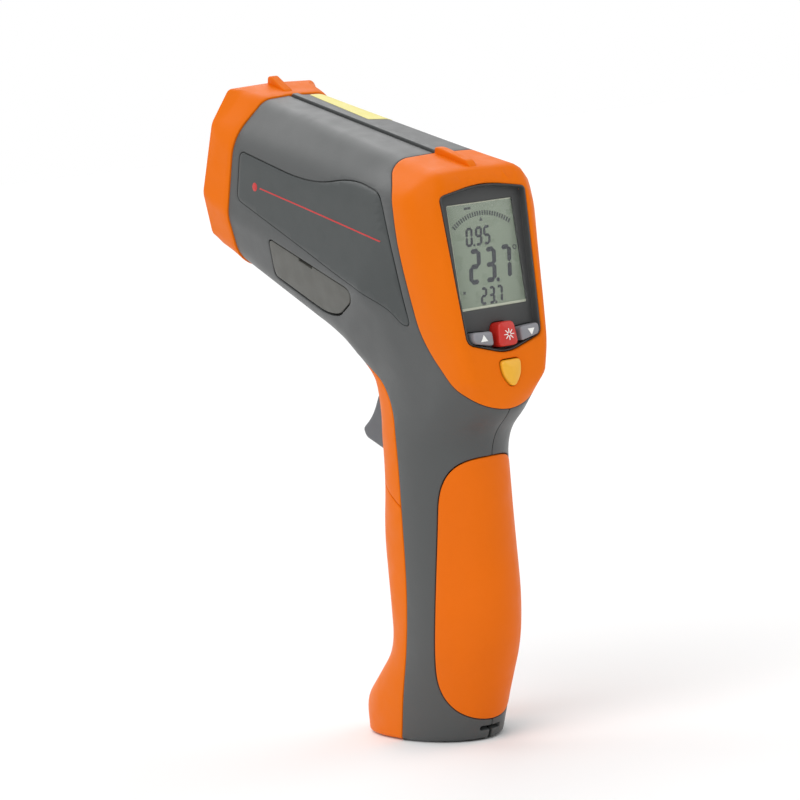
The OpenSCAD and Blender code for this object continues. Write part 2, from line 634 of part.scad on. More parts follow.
module keypad_switches() color([0.15, 0.15, 0.16]) on_face() for (p = key_places)
    translate([p.x, p.y, board_z]) {
        translate([-switch_side / 2, -switch_side / 2, 0]) cube([switch_side, switch_side, switch_h - 0.5]);
        cylinder(d = 2.4, h = switch_h);
    }
key_foot_z = board_z + switch_h + key_travel + 0.1;
key_skirt = 0.5;
key_skirt_t = 0.8;
module key(top) {
    translate([0, 0, key_foot_z]) linear_extrude(top - key_foot_z) children(0);
    translate([0, 0, key_foot_z]) linear_extrude(key_skirt_t) children(1);
}
side_key_top = -1.6;
module up_button() color([0.50, 0.50, 0.52]) on_face() key(side_key_top) {
    side_key_outline(-1, 0);
    side_key_outline(-1, key_skirt);
}
module down_button() color([0.50, 0.50, 0.52]) on_face() key(side_key_top) {
    side_key_outline(1, 0);
    side_key_outline(1, key_skirt);
}
module laser_button() color([0.78, 0.12, 0.12]) on_face() key(-0.4) {
    laser_key_outline(0);
    laser_key_outline(key_skirt);
}
module mode_button() color([0.97, 0.73, 0.18]) on_face() key(1.2) {
    mode_outline(0);
    mode_outline(key_skirt);
}

// Main board with sockets behind the flap.
main_board_y = [board_y[0] - 6, board_y[1] + 6];
main_board_z = [134, 176];
module main_board() color(board_green) in_barrel() difference() {
    translate([board_x, main_board_y[0], main_board_z[0]])
        cube([board_t, main_board_y[1] - main_board_y[0], main_board_z[1] - main_board_z[0]]);
    for (p = board_points) cross_pin(p, 2.2, board_x - 1, board_x + board_t + 1);
}
module board_screws() color(steel) in_barrel() for (p = board_points) {
    cross_pin(p, 1.6, board_x - 5, board_x + board_t);
    cross_pin(p, 3.8, board_x + board_t, board_x + board_t + 1.3);
}
buzzer_mid = [(board_y[0] + board_y[1]) / 2, 165];
buzzer_d = 12;
module buzzer() color(dark) in_barrel() difference() {
    cross_pin(buzzer_mid, buzzer_d, board_x + board_t, board_x + board_t + 5.5);
    cross_pin(buzzer_mid, 2, board_x + board_t + 4, board_x + board_t + 7);
}
usb_mid = [door_y + 13, 142];
usb_size = [8.6, 7.7, 3.9];
usb_shell = 0.4;
probe_mid = [door_y - 6, 140];
probe_size = [8.6, 17, 8.4];
socket_back = board_x;
module socket_body(mid, size)
    translate([socket_back - size.x, mid.x - size.y / 2, mid.y - size.z / 2]) cube(size);
module socket_mouths() for (s = [[usb_mid, usb_size], [probe_mid, probe_size]])
    translate([-reach, s[0].x - s[1].y / 2 - apart, s[0].y - s[1].z / 2 - apart])
        cube([reach + socket_back - 2, s[1].y + 2 * apart, s[1].z + 2 * apart]);
module usb_socket() color(steel) in_barrel() difference() {
    socket_body(usb_mid, usb_size);
    translate([socket_back - usb_size.x - 1, usb_mid.x - usb_size.y / 2 + usb_shell,
        usb_mid.y - usb_size.z / 2 + usb_shell])
        cube([7, usb_size.y - 2 * usb_shell, usb_size.z - 2 * usb_shell]);
}
module probe_socket() color([0.85, 0.75, 0.2]) in_barrel() difference() {
    socket_body(probe_mid, probe_size);
    for (s = [[-4, 2.4], [4, 3.2]])
        translate([socket_back - probe_size.x - 1, probe_mid.x + s[0] - s[1] / 2, probe_mid.y - 0.5])
            cube([7.5, s[1], 1]);
}
notch_l = 8.4;
notch_x = -1.5;
module socket_door() color(grey) in_barrel() on_bevel() difference() {
    union() {
        intersection() {
            translate([0, 0, -socket_door_t]) linear_extrude(socket_door_t) door_outline(0, 2.4, 5);
            translate([-reach, hinge_y, -10]) cube([2 * reach, 20, 20]);
        }
        translate([-hinge_l / 2, hinge_y, hinge_z]) rotate([0, 90, 0]) cylinder(r = hinge_r, h = hinge_l);
    }
    translate([-reach, hinge_y, hinge_z]) rotate([0, 90, 0])
        cylinder(d = socket_pin_d + 2 * running, h = 2 * reach);
    translate([notch_x - notch_l / 2, socket_door_h / 2 - 1, -1]) cube([notch_l, 2, 2]);
}
module socket_door_pin() color(steel) in_barrel() on_hinge(0)
    cylinder(d = socket_pin_d, h = hinge_l + 2 * pin_hold, center = true);

// Trigger, its pin, spring and switch, and the strip that it comes through.
trigger_back = 54.4;
trigger_corners = [[58, 114, 4], [62.4, 112, 3], [66.4, 104.6, 4], [69.6, 95, 5], [75.4, 88.4, 1.6],
    [73, 85.6, 1.4], [60, 84.4, 2], [trigger_back + 0.4, 84.4, 1.5], [trigger_back, 100, 4],
    [trigger_pivot.x - 3, 112, 6], [trigger_pivot.x - 4.1, trigger_pivot.y, 3],
    [trigger_pivot.x - 2, trigger_pivot.y + 4.2, 2], [trigger_pivot.x + 2, trigger_pivot.y + 4.2, 2],
    [trigger_pivot.x + 4.1, trigger_pivot.y, 3]];
module trigger() color(dark) in_barrel() difference() {
    across(trigger_w / 2) polygon(rounded_loop(trigger_corners, 5));
    cross_pin(trigger_pivot, trigger_pin_d + 2 * running, -reach, reach);
}
module trigger_pin() color(steel) in_barrel()
    cross_pin(trigger_pivot, trigger_pin_d, -trigger_pin_l / 2 + 0.2, trigger_pin_l / 2 - 0.2);
switch_front = 47.6;
switch_back = 41.4;
switch_z = [87, 104];
plunger_z = 91.2;
plunger_size = [3, trigger_back - switch_front - trigger_stroke * PI / 180 * (trigger_pivot.y - plunger_z)
    - 0.25, 2.4];
module trigger_switch() color([0.12, 0.12, 0.13]) in_barrel() {
    translate([-switch_w / 2, switch_back, switch_z[0]])
        cube([switch_w, switch_front - switch_back, switch_z[1] - switch_z[0]]);
    translate([-plunger_size.x / 2, switch_front, plunger_z - plunger_size.z / 2]) cube(plunger_size);
}
spring_r = 2.4;
spring_wire = 0.7;
spring_turns = 5;
spring_z = 99;
spring_back = switch_front + spring_wire / 2 + 0.02;
spring_front = trigger_back - spring_wire / 2 - 0.3;
spring_sides = 6;
spring_steps = 10;
function spring_point(i) = let (f = i / (spring_turns * spring_steps), a = 360 * i / spring_steps)
    [spring_r * cos(a), spring_back + f * (spring_front - spring_back), spring_z + spring_r * sin(a)];
function spring_ring(i) = let (p = spring_point(i), a = 360 * i / spring_steps, out = [cos(a), 0, sin(a)],
        rise = (spring_front - spring_back) / (2 * PI * spring_turns),
        run = unit([-spring_r * sin(a), rise, spring_r * cos(a)]), side = cross(run, out))
    [for (k = [0:spring_sides - 1]) p + spring_wire / 2 * (cos(60 * k) * out + sin(60 * k) * side)];
module trigger_spring() color(steel) in_barrel()
    loft([for (i = [spring_turns * spring_steps:-1:0]) spring_ring(i)]);
slot_half = trigger_w / 2 + apart;
slot_range = [83.2, 115.5];
lip_top = 112;
module strip_skin(t) intersection() {
    difference() {
        body_skin();
        inner_skin(t);
    }
    strip_block(0);
}
module trigger_surround() color(orange) in_barrel() moulded() difference() {
    union() {
        strip_skin(wall + 2 * fit);
        intersection() {
            lip_skin();
            difference() {
                strip_block(lip_reach);
                strip_block(-lip_reach);
            }
            translate([-reach, 0, 0]) cube([2 * reach, 90, lip_top]);
        }
        intersection() {
            panel_skin(1);
            for (s = [-1, 1]) cross_pin(switch_mid, 6, s > 0 ? switch_w / 2 : -reach,
                s > 0 ? reach : -switch_w / 2, $fn = 16);
        }
    }
    below_split(seam);
    translate([-slot_half, 40, slot_range[0]]) cube([2 * slot_half, 60, slot_range[1] - slot_range[0]]);
}
knuckle_half = 4.6;
knuckle_d = 8;
ear_x = [knuckle_half + apart, 7.8];
ear_gap = 0.7;
heel_lift = 0.3;
module sole_cut(half, front) rotate([-barrel_pitch, 0, 0]) translate([-half, 0, -5])
    cube([2 * half, front, tongue_top + 6]);
module battery_door() color(orange) in_barrel() difference() {
    moulded() difference() {
        intersection() {
            union() {
                difference() {
                    strip_skin(wall);
                    sole_cut(tongue_half + ear_gap, hinge_at.x - 3);
                    sole_cut(ear_x[1] + ear_gap, hinge_at.x + 4);
                }
                intersection() {
                    union() {
                        cross_pin(door_pivot, knuckle_d, -knuckle_half, knuckle_half, $fn = 24);
                        translate([-knuckle_half, door_pivot.x, door_pivot.y - 2])
                            cube([2 * knuckle_half, 30, 4]);
                    }
                    panel_skin(1);
                }
            }
            below_split(-seam);
        }
        rotate([-barrel_pitch, 0, 0]) translate([-reach, -reach, -20 + heel_lift]) cube([2 * reach, 300, 20]);
    }
    cross_pin(door_pivot, door_pin_d + 2 * running, -knuckle_half - 1, knuckle_half + 1);
}
module battery_door_pin() color(steel) in_barrel()
    cross_pin(door_pivot, door_pin_d, -ear_x[1] + 0.1, ear_x[1] - 0.1);

// Battery, its snap, and the foot block that carries insert and hinge.
terminal_x = 6.35;
module battery() color([0.2, 0.2, 0.22]) in_barrel() {
    translate([0, battery_y, battery_z]) linear_extrude(battery_size.z) offset(r = 1.6)
        square([battery_size.x - 3.2, battery_size.y - 3.2], center = true);
    translate([0, battery_y - terminal_x, battery_z + battery_size.z]) cylinder(d = 5.6, h = 2);
    translate([0, battery_y + terminal_x, battery_z + battery_size.z]) cylinder(d = 8, h = 2);
}
snap_size = [15, 25, 4];
snap_r = 4;
module battery_snap() color(dark) in_barrel() translate([0, battery_y, battery_z + battery_size.z])
    difference() {
        linear_extrude(snap_size.z) offset(r = snap_r)
            square([snap_size.x - 2 * snap_r, snap_size.y - 2 * snap_r], center = true);
        translate([0, -terminal_x, -1]) cylinder(d = 5.6 + 2 * running, h = 3.1);
        translate([0, terminal_x, -1]) cylinder(d = 8 + 2 * running, h = 3.1);
    }
block_z = [floor_t, 13];
block_step = 22;
block_front = 34;
ear_d = 5.6;
function foot_outline(z, inset) = [for (p = ring(level(z), inset))
    [p.x, p.y * cos(barrel_pitch) - p.z * sin(barrel_pitch)]];
module foot_block() color(dark) in_foot() difference() {
    union() {
        translate([0, 0, block_z[0]]) linear_extrude(block_z[1] - block_z[0]) intersection() {
            polygon(foot_outline(block_z[0], wall + fit));
            polygon(foot_outline(block_z[1], wall + fit));
            union() {
                translate([-reach, 2.6]) square([2 * reach, block_step - 2.6]);
                translate([-ear_x[1], block_step - 1]) square([2 * ear_x[1], block_front - block_step + 1]);
            }
        }
        for (s = [-1, 1]) translate([s > 0 ? ear_x[0] : -ear_x[1], 0, 0]) {
            translate([0, block_front - 1, hinge_at.y - ear_d / 2])
                cube([ear_x[1] - ear_x[0], hinge_at.x - block_front + 1, ear_d]);
            translate([0, hinge_at.x, hinge_at.y]) rotate([0, 90, 0])
                cylinder(d = ear_d, h = ear_x[1] - ear_x[0]);
        }
    }
    translate([0, foot_center, 0]) cylinder(d = insert_d, h = 40);
    translate([-reach, hinge_at.x, hinge_at.y]) rotate([0, 90, 0]) cylinder(d = door_pin_d, h = 2 * reach);
}
module tripod_insert() color(brass) in_foot() translate([0, foot_center, 0]) difference() {
    cylinder(d = insert_d, h = tripod_depth + 1.5);
    translate([0, 0, -1]) cylinder(d = tripod_d, h = tripod_depth + 1);
}
module rear_grip() color(orange) in_barrel() moulded() intersection() {
    difference() {
        body_skin();
        panel_skin(grip_t);
    }
    grip_block(-seam);
}
module housing_screws() color(steel) in_barrel() for (p = screw_points) {
    cross_pin(p, pilot_d, screw_seat - screw_l, screw_seat);
    difference() {
        cross_pin(p, screw_head_d, screw_seat, screw_seat + screw_head_h);
        translate([screw_seat + screw_head_h, p.x, p.y]) for (a = [0, 90])
            rotate([a, 0, 0]) cube([2.2, 3.4, 0.8], center = true);
    }
}

left_housing();
right_housing();
nose_cap();
front_plate();
lens_barrel();
lens_ring();
ir_lens();
thermopile();
sensor_board();
laser_modules();
laser_lenses();
rear_bezel();
display_frame();
display_window();
lcd_panel();
display_board();
keypad_switches();
up_button();
laser_button();
down_button();
mode_button();
main_board();
board_screws();
buzzer();
usb_socket();
probe_socket();
socket_door();
socket_door_pin();
trigger();
trigger_pin();
trigger_spring();
trigger_switch();
trigger_surround();
battery_door();
battery_door_pin();
battery();
battery_snap();
foot_block();
tripod_insert();
rear_grip();
housing_screws();
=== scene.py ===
import json
import math

import bmesh
import bpy
import numpy as np
from mathutils import Matrix, Vector
from mathutils.geometry import delaunay_2d_cdt

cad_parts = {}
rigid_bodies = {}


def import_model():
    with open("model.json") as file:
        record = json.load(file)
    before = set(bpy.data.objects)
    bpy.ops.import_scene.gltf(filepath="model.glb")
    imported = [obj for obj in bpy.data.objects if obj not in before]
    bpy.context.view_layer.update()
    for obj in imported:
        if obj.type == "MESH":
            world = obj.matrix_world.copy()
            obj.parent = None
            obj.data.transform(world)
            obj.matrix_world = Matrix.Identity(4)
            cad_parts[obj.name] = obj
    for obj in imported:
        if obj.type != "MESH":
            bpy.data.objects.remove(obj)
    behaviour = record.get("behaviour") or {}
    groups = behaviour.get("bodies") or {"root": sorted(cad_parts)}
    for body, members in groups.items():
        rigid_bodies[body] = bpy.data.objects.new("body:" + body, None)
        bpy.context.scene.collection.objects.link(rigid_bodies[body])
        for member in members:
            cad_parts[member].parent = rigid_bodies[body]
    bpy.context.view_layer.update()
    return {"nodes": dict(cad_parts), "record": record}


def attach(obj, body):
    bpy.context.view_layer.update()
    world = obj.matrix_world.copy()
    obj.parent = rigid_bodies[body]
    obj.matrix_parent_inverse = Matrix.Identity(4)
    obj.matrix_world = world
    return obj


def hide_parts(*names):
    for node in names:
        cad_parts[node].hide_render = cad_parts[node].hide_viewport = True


for leftover in list(bpy.data.objects):
    bpy.data.objects.remove(leftover)
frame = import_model()
scene = bpy.context.scene

# Form of the body: the same sections as the solids, read at a finer step.
# Side view values are in millimetres along (y) and square to (z) the barrel.
# Sections are numbered by q: below 0 in millimetres along the barrel, then in degrees about the pivot, and
# beyond TURN in millimetres down the handle. u runs round half a section, from 0 at the back to FRONT_U.
FRONT_U = 16
PITCH = math.radians(16.5)
SIN, COS = math.sin(PITCH), math.cos(PITCH)
FOOT_CENTER = 16.0
TOP, REACH, TILT = 193.0, 150.0, math.radians(19.8)
SETBACK, CHIN = 21.4, 121.5
CAP_Y = 134.0
PIVOT = np.array([86.0, 104.0])
UP = np.array([SIN, COS])
TURN = 73.5
RISE = float(PIVOT @ UP)
AHEAD = 40.0
NOSE_BOTTOM = 132.0
RUN = math.tan(math.radians(9))
# Largest share of a side that the rounding of a corner takes up.
CORNER_SHARE = 0.48


def level(z):
    """Section number q at a height of z above the foot."""
    return TURN + RISE - z


def toward(c, p, length):
    """The place at a length from the corner c, on the way to p."""
    reach = np.linalg.norm(p - c, axis=-1, keepdims=True)
    return c + (p - c) / reach * np.minimum(length, CORNER_SHARE * reach)


def bend(a, c, b, f):
    """Points of the curve from a to b that rounds the corner c, at shares f of the way."""
    return (1 - f) ** 2 * a + 2 * f * (1 - f) * c + f * f * b


def blend(p, c, r, length, n):
    p, c, r = (np.array(v[:2], float) for v in (p, c, r))
    return bend(toward(c, p, length), c, toward(c, r, length), np.linspace(0, 1, n + 1)[:, None])


def rounded(corners, n=24, loop=False):
    """A line through corners given as (x, y, length of the rounding)."""
    k = len(corners)
    out = []
    for i, c in enumerate(corners):
        if c[2] > 0 and (loop or 0 < i < k - 1):
            out.extend(blend(corners[i - 1], c, corners[(i + 1) % k], c[2], n))
        else:
            out.append(np.array(c[:2], float))
    return np.array(out)


chin_y = SETBACK - (TOP - CHIN) * math.tan(TILT)
nook_z = NOSE_BOTTOM - (REACH - 63) * RUN
BACK = rounded([(160, TOP, 0), (SETBACK, TOP, 4), (chin_y, CHIN, 9), (8.8, 104.5, 9), (-6.6, 44, 16),
                (0, 0, 0), (1.5, -10, 0)])
FRONT = rounded([(160, NOSE_BOTTOM + 10 * RUN, 0), (63, nook_z, 11), (53.4, 80, 10), (53, 60, 9),
                 (43.6, 20.2, 8), (60.8, -5.5, 6), (57, -22, 0)])


def section_frame(q):
    """Origin and direction, in side view, of the section plane at each q."""
    q = np.atleast_1d(np.asarray(q, float))
    ang = np.radians(90 + np.clip(q, 0, TURN))
    e = np.stack([np.cos(ang), np.sin(ang)], 1)
    o = np.repeat(PIVOT[None], len(q), 0)
    o[:, 0] -= np.minimum(q, 0)
    low = np.maximum(q - TURN, 0)
    o = o - low[:, None] * UP - np.where(q > TURN, AHEAD, 0)[:, None] * e
    return o, e


def cross2(a, b):
    return a[..., 0] * b[..., 1] - a[..., 1] * b[..., 0]


def unit(v):
    return v / np.maximum(np.linalg.norm(v, axis=-1, keepdims=True), 1e-9)


def ray_hits(q, line):
    """Distances along each section direction where it crosses a side view line, nan where it misses."""
    o, e = section_frame(q)
    d = line[1:] - line[:-1]
    w = line[:-1][None] - o[:, None]
    den = cross2(e[:, None], d[None])
    den = np.where(np.abs(den) < 1e-9, np.nan, den)
    s = cross2(w, e[:, None]) / den
    t = cross2(w, d[None]) / den
    return np.where((s < -1e-6) | (s > 1 + 1e-6), np.nan, t)


# Places where each section meets the back and the front.
Q_TABLE = np.concatenate([
    np.linspace(-66, 0, 67), np.linspace(0.2, TURN, 400), np.linspace(TURN + 1e-6, level(-3), 600)])
T_BACK = np.nanmax(ray_hits(Q_TABLE, BACK), 1)
T_FRONT = np.nanmin(ray_hits(Q_TABLE, FRONT), 1)


def smooth_keys(keys):
    """Monotone cubic through the keys, flat beyond them."""
    k = np.array(keys, float)
    x, y = k[:, 0], k[:, 1]
    h = np.diff(x)
    d = np.diff(y) / h
    m = np.zeros(len(x))
    for i in range(1, len(x) - 1):
        if d[i - 1] * d[i] > 0:
            a, b = 2 * h[i] + h[i - 1], h[i] + 2 * h[i - 1]
            m[i] = (a + b) / (a / d[i - 1] + b / d[i])

    def f(q):
        q = np.clip(q, x[0], x[-1])
        i = np.clip(np.searchsorted(x, q) - 1, 0, len(h) - 1)
        t = (q - x[i]) / h[i]
        return ((1 + 2 * t) * (1 - t) ** 2 * y[i] + t * (1 - t) ** 2 * h[i] * m[i]
                + t * t * (3 - 2 * t) * y[i + 1] + t * t * (t - 1) * h[i] * m[i + 1])
    return f


FOOT_Q = level(0)
# Form of the sections along the body: half width, place of the widest point as a share of the depth,
# how bevelled the front and the back are (1 bevelled, 0 oval), half of the flat top, the shoulder's drop.
WIDTH = smooth_keys([(-64, 26), (0, 25.7), (35, 26), (58, 22.4), (TURN, 19.2), (TURN + 14, 18.1),
                     (TURN + 28, 17.7), (level(60), 18), (level(14), 18), (FOOT_Q, 17.3)])
WIDEST = smooth_keys([(-64, 0.36), (0, 0.385), (40, 0.41), (54, 0.5), (TURN, 0.46), (level(90), 0.44),
                      (FOOT_Q, 0.46)])
EDGE = smooth_keys([(44, 1), (58, 0.72), (TURN, 0.4), (TURN + 9, 0.15), (TURN + 20, 0)])
FACE = smooth_keys([(66, 1), (TURN, 0.85), (TURN + 6, 0.5), (TURN + 13, 0.15), (TURN + 20, 0)])
FLAT = smooth_keys([(-64, 12.2), (20, 14.8), (37, 16.8), (42, 18.5), (62, 17.7), (TURN, 16),
                    (TURN + 12, 9.5)])
DROP = smooth_keys([(20, 13), (42, 8), (TURN, 8)])
# Corners of the bevelled section, their roundings, and how far each follows an inset.
TOP_FALL, SHOULDER, SHOULDER_ROOM = 0.6, 24.5, 1.2
BEVEL_END, BEVEL_ROOM, BEVEL_RISE = 20, 3, 5
ROUNDINGS = (3, 7, 2.5, 8)
FLAT_SHARE, SHOULDER_SHARE, BEVEL_SHARE = 0.45, 0.9, 0.8
# Angle round the oval at each whole u, and how full its front half is.
FRONT_POWER = 0.8
OVAL = np.array([0, 20, 28, 36, 50, 57, 64, 71, 84, 90, 96, 118, 130, 142, 154, 166, 180], float)


def eased(p, lengths, u):
    """A half section through six corners, the inner four rounded, read at u."""
    out = np.zeros(u.shape + (2,))
    prev = p[0]
    spans = ((0, 1, 1, 3), (3, 4, 2, 7), (7, 8, 3, 10), (10, 11, 4, 15))
    for (line0, a_at, i, b_at), length in zip(spans, lengths):
        a, b = toward(p[i], p[i - 1], length), toward(p[i], p[i + 1], length)
        f = np.clip((u - line0) / (a_at - line0), 0, 1)[..., None]
        g = np.clip((u - a_at) / (b_at - a_at), 0, 1)[..., None]
        part = np.where((u <= a_at)[..., None], prev + (a - prev) * f, bend(a, p[i], b, g))
        pick = ((u > line0) | (line0 == 0)) & (u <= b_at)
        out = np.where(pick[..., None], part, out)
        prev = b
    f = np.clip(u - 15, 0, 1)[..., None]
    return np.where((u > 15)[..., None], prev + (p[5] - prev) * f, out)


def half_section(q, u, inset=0.0):
    """Across (x) and outward (t) places of the points at u of the sections at q."""
    q, u = np.broadcast_arrays(np.asarray(q, float), np.asarray(u, float))
    back = np.interp(q, Q_TABLE, T_BACK) - inset
    front = np.interp(q, Q_TABLE, T_FRONT) + inset
    wide = WIDTH(q) - inset
    middle = front + WIDEST(q) * (back - front)
    flat = FLAT(q) - inset * FLAT_SHARE
    shoulder = np.minimum(SHOULDER, wide + inset - SHOULDER_ROOM) - inset * SHOULDER_SHARE
    bevel = np.minimum(BEVEL_END, wide + inset - BEVEL_ROOM) - inset * BEVEL_SHARE
    zero = np.zeros_like(wide)
    corners = ((zero, back), (flat, back - TOP_FALL), (shoulder, back - DROP(q)), (wide, middle),
               (bevel, front + BEVEL_RISE), (zero, front))
    out = eased([np.stack(v, -1) for v in corners], ROUNDINGS, u)
    ang = np.radians(np.interp(u, np.arange(17), OVAL))
    sn, cs = np.sin(ang), np.abs(np.cos(ang))
    power = np.where(ang < math.pi / 2, 1.0, FRONT_POWER)
    oval_x = wide * np.where(sn <= 1e-9, 0, np.power(np.maximum(sn, 1e-12), power))
    oval_t = middle + np.where(ang < math.pi / 2, back - middle, front - middle) * np.power(cs, power)
    oval = np.stack([oval_x, oval_t], -1)
    between = FACE(q) + (EDGE(q) - FACE(q)) * (u - 7)
    m = np.where(u <= 7, FACE(q), np.where(u >= 8, EDGE(q), between))[..., None]
    return m * out + (1 - m) * oval


def place(q, s, inset=0.0):
    """Points of the skin in the barrel frame. s is u, below 0 on the user's left and above 0 on the right,
    and runs on past FRONT_U round the front."""
    q, s = (np.atleast_1d(np.asarray(v, float)) for v in (q, s))
    q, s = np.broadcast_arrays(q, s)
    u = np.abs(s)
    side = np.where(s < 0, -1.0, 1.0)
    over = u > FRONT_U
    side = np.where(over, -side, side)
    u = np.where(over, 2 * FRONT_U - u, u)
    h = half_section(q, u, inset)
    o, e = section_frame(q.ravel())
    o, e = o.reshape(q.shape + (2,)), e.reshape(q.shape + (2,))
    yz = o + h[..., 1:] * e
    return np.stack([side * h[..., 0], yz[..., 0], yz[..., 1]], -1)


def standing(p):
    """From the barrel frame in millimetres to the row frame in metres."""
    p = np.asarray(p, float)
    return np.stack([p[..., 0], p[..., 1] * COS - p[..., 2] * SIN - FOOT_CENTER,
                     p[..., 1] * SIN + p[..., 2] * COS], -1) / 1000


def q_of(y, z):
    ang = math.degrees(math.atan2(z - PIVOT[1], y - PIVOT[0]))
    if y >= PIVOT[0]:
        return PIVOT[0] - y
    if 90 <= ang <= 90 + TURN:
        return ang - 90
    return level(y * UP[0] + z * UP[1])


U_FINE = np.linspace(0, FRONT_U, 641)


def u_of_side(y, z):
    """(q, u) of the skin point seen at (y, z) from the side, u past its ends where it is off the body."""
    q = q_of(y, z)
    o, e = section_frame(q)
    t = float((np.array([y, z]) - o[0]) @ e[0])
    ts = half_section(q, U_FINE)[:, 1]
    if t > ts[0]:
        return q, -(t - ts[0])
    if t < ts[-1]:
        return q, FRONT_U + (ts[-1] - t)
    return q, float(np.interp(-t, -ts, U_FINE))


def u_of_across(q, x, front=False):
    """u of the skin point at distance x from the middle, on the back or the front of the section."""
    h = half_section(q, U_FINE)[:, 0]
    top = int(np.argmax(h))
    if front:
        return float(np.interp(abs(x), h[top:][::-1], U_FINE[top:][::-1]))
    return float(np.interp(abs(x), h[:top + 1], U_FINE[:top + 1]))


def lengths(p):
    """Length along a line up to each of its points."""
    return np.concatenate([[0], np.cumsum(np.linalg.norm(np.diff(p, axis=0), axis=1))])


def spaced(p, d, n):
    """n points of the line p at even steps of d, the length up to each of its points."""
    x = np.linspace(0, d[-1], n)
    return np.stack([np.interp(x, d, p[:, i]) for i in (0, 1)], 1)


def resample(pts, step, closed=False):
    p = np.array(pts, float)
    if closed:
        p = np.vstack([p, p[:1]])
    d = lengths(p)
    r = spaced(p, d, max(2, int(math.ceil(d[-1] / step)) + 1))
    return r[:-1] if closed else r


def outline(corners, n, step):
    """A closed line through rounded corners, in even steps."""
    return resample(rounded(corners, n, loop=True), step, closed=True)


def side_curve(pts, step=0.175):
    """A dividing line drawn in side view, as (q, u), cut where it leaves the body."""
    out = []
    vals = [u_of_side(y, z) for y, z in resample(pts, step)]
    on_body = [0 <= u <= FRONT_U for _, u in vals]
    for i, (q, u) in enumerate(vals):
        next_on = on_body[i + 1:i + 2]
        if on_body[i]:
            out.append((q, u))
        elif out or next_on == [True]:
            other = out[-1] if out else vals[i + 1]
            out.append((q * 0.5 + other[0] * 0.5, 0.0 if u < 0 else FRONT_U))
            if len(out) > 1 and next_on == [False]:
                break
    return np.array(out, float)


def area(loop):
    x, y = loop.T
    return 0.5 * np.sum(x * np.roll(y, -1) - y * np.roll(x, -1))


def inside(pts, loop):
    x, y = pts.T
    res = np.zeros(len(pts), bool)
    for (x0, y0), (x1, y1) in zip(loop, np.roll(loop, -1, 0)):
        if y0 != y1:
            res ^= ((y0 > y) != (y1 > y)) & (x < (x1 - x0) * (y - y0) / (y1 - y0) + x0)
    return res


# From, to and number of places of u on each flat and each rounding of a section.
U_SPANS = ((0, 1, 4), (1, 3, 7), (3, 4, 6), (4, 7, 9), (7, 8, 10), (8, 10, 6), (10, 11, 6), (11, 15, 11),
           (15, 16, 4))
U_GRID = np.unique(np.concatenate([np.linspace(*span) for span in U_SPANS]))
ARC = lengths(half_section(20.0, U_FINE))


def read_on(x, xs, ys):
    """Values of ys at x, carried on past the end of xs by a half turn, with the sign of x."""
    v = np.abs(x)
    past = 2 * ys[-1] - np.interp(2 * xs[-1] - v, xs, ys)
    return np.sign(x) * np.where(v <= xs[-1], np.interp(v, xs, ys), past)


class Skin:
    """The body's outer skin, with points as (q, s)."""

    def at(self, p):
        return place(*p.T)

    def tangents(self, p):
        q, s = p.T
        dq, ds = 0.05, 0.02
        along = (place(q + dq, s) - place(q - dq, s)) / (2 * dq)
        across = (place(q, s + ds) - place(q, s - ds)) / (2 * ds)
        return along, across

    def normals(self, p):
        n = unit(np.cross(*self.tangents(p)))
        inward = place(*p.T, 2.0) - self.at(p)
        return np.where((np.sum(n * inward, -1) > 0)[:, None], -n, n)

    def along(self, s):
        """Length round the section up to s."""
        return read_on(s, U_FINE, ARC)

    def flat(self, p):
        return np.stack([p[:, 0], self.along(p[:, 1])], 1)

    def moved(self, p, step):
        s, ds = p[:, 1], 0.02
        b = self.along(s) + step[:, 1] * (self.along(s + ds) - self.along(s - ds)) / (2 * ds)
        return np.stack([p[:, 0] + step[:, 0], read_on(b, ARC, U_FINE)], 1)

    def grid(self, lo, hi, step):
        us = np.concatenate([U_GRID - 2 * FRONT_U, -U_GRID[::-1], U_GRID, 2 * FRONT_U - U_GRID[::-1]])
        us = np.unique(us[(us > lo[1]) & (us < hi[1])])
        qs = np.linspace(lo[0], hi[0], max(3, int((hi[0] - lo[0]) / step)))
        return np.array([(q, s) for q in qs for s in us])


class Plane:
    """A flat place in the barrel frame, with points as distances along two directions."""

    def __init__(self, origin, ex, ey):
        self.o, self.ex, self.ey = (np.array(v, float) for v in (origin, ex, ey))
        self.n = np.cross(self.ex, self.ey)

    def at(self, p):
        return self.o + p[:, :1] * self.ex + p[:, 1:2] * self.ey

    def tangents(self, p):
        return np.broadcast_to(self.ex, (len(p), 3)), np.broadcast_to(self.ey, (len(p), 3))

    def normals(self, p):
        return np.broadcast_to(self.n, (len(p), 3))

    def flat(self, p):
        return p

    def moved(self, p, step):
        return p + step

    def grid(self, lo, hi, step):
        xs, ys = (np.linspace(a, b, max(3, int((b - a) / step) + 1)) for a, b in zip(lo, hi))
        return np.array([(x, y) for x in xs for y in ys])


SKIN = Skin()


def respace(surface, loop, step=0.8):
    """Even 3-D spacing of a closed loop."""
    loop = np.vstack([loop, loop[:1]])
    d = lengths(surface.at(loop))
    return spaced(loop, d, max(8, int(round(d[-1] / step)) + 1))[:-1]


def turning_left(surface, loop):
    return loop if area(surface.flat(loop)) > 0 else loop[::-1]


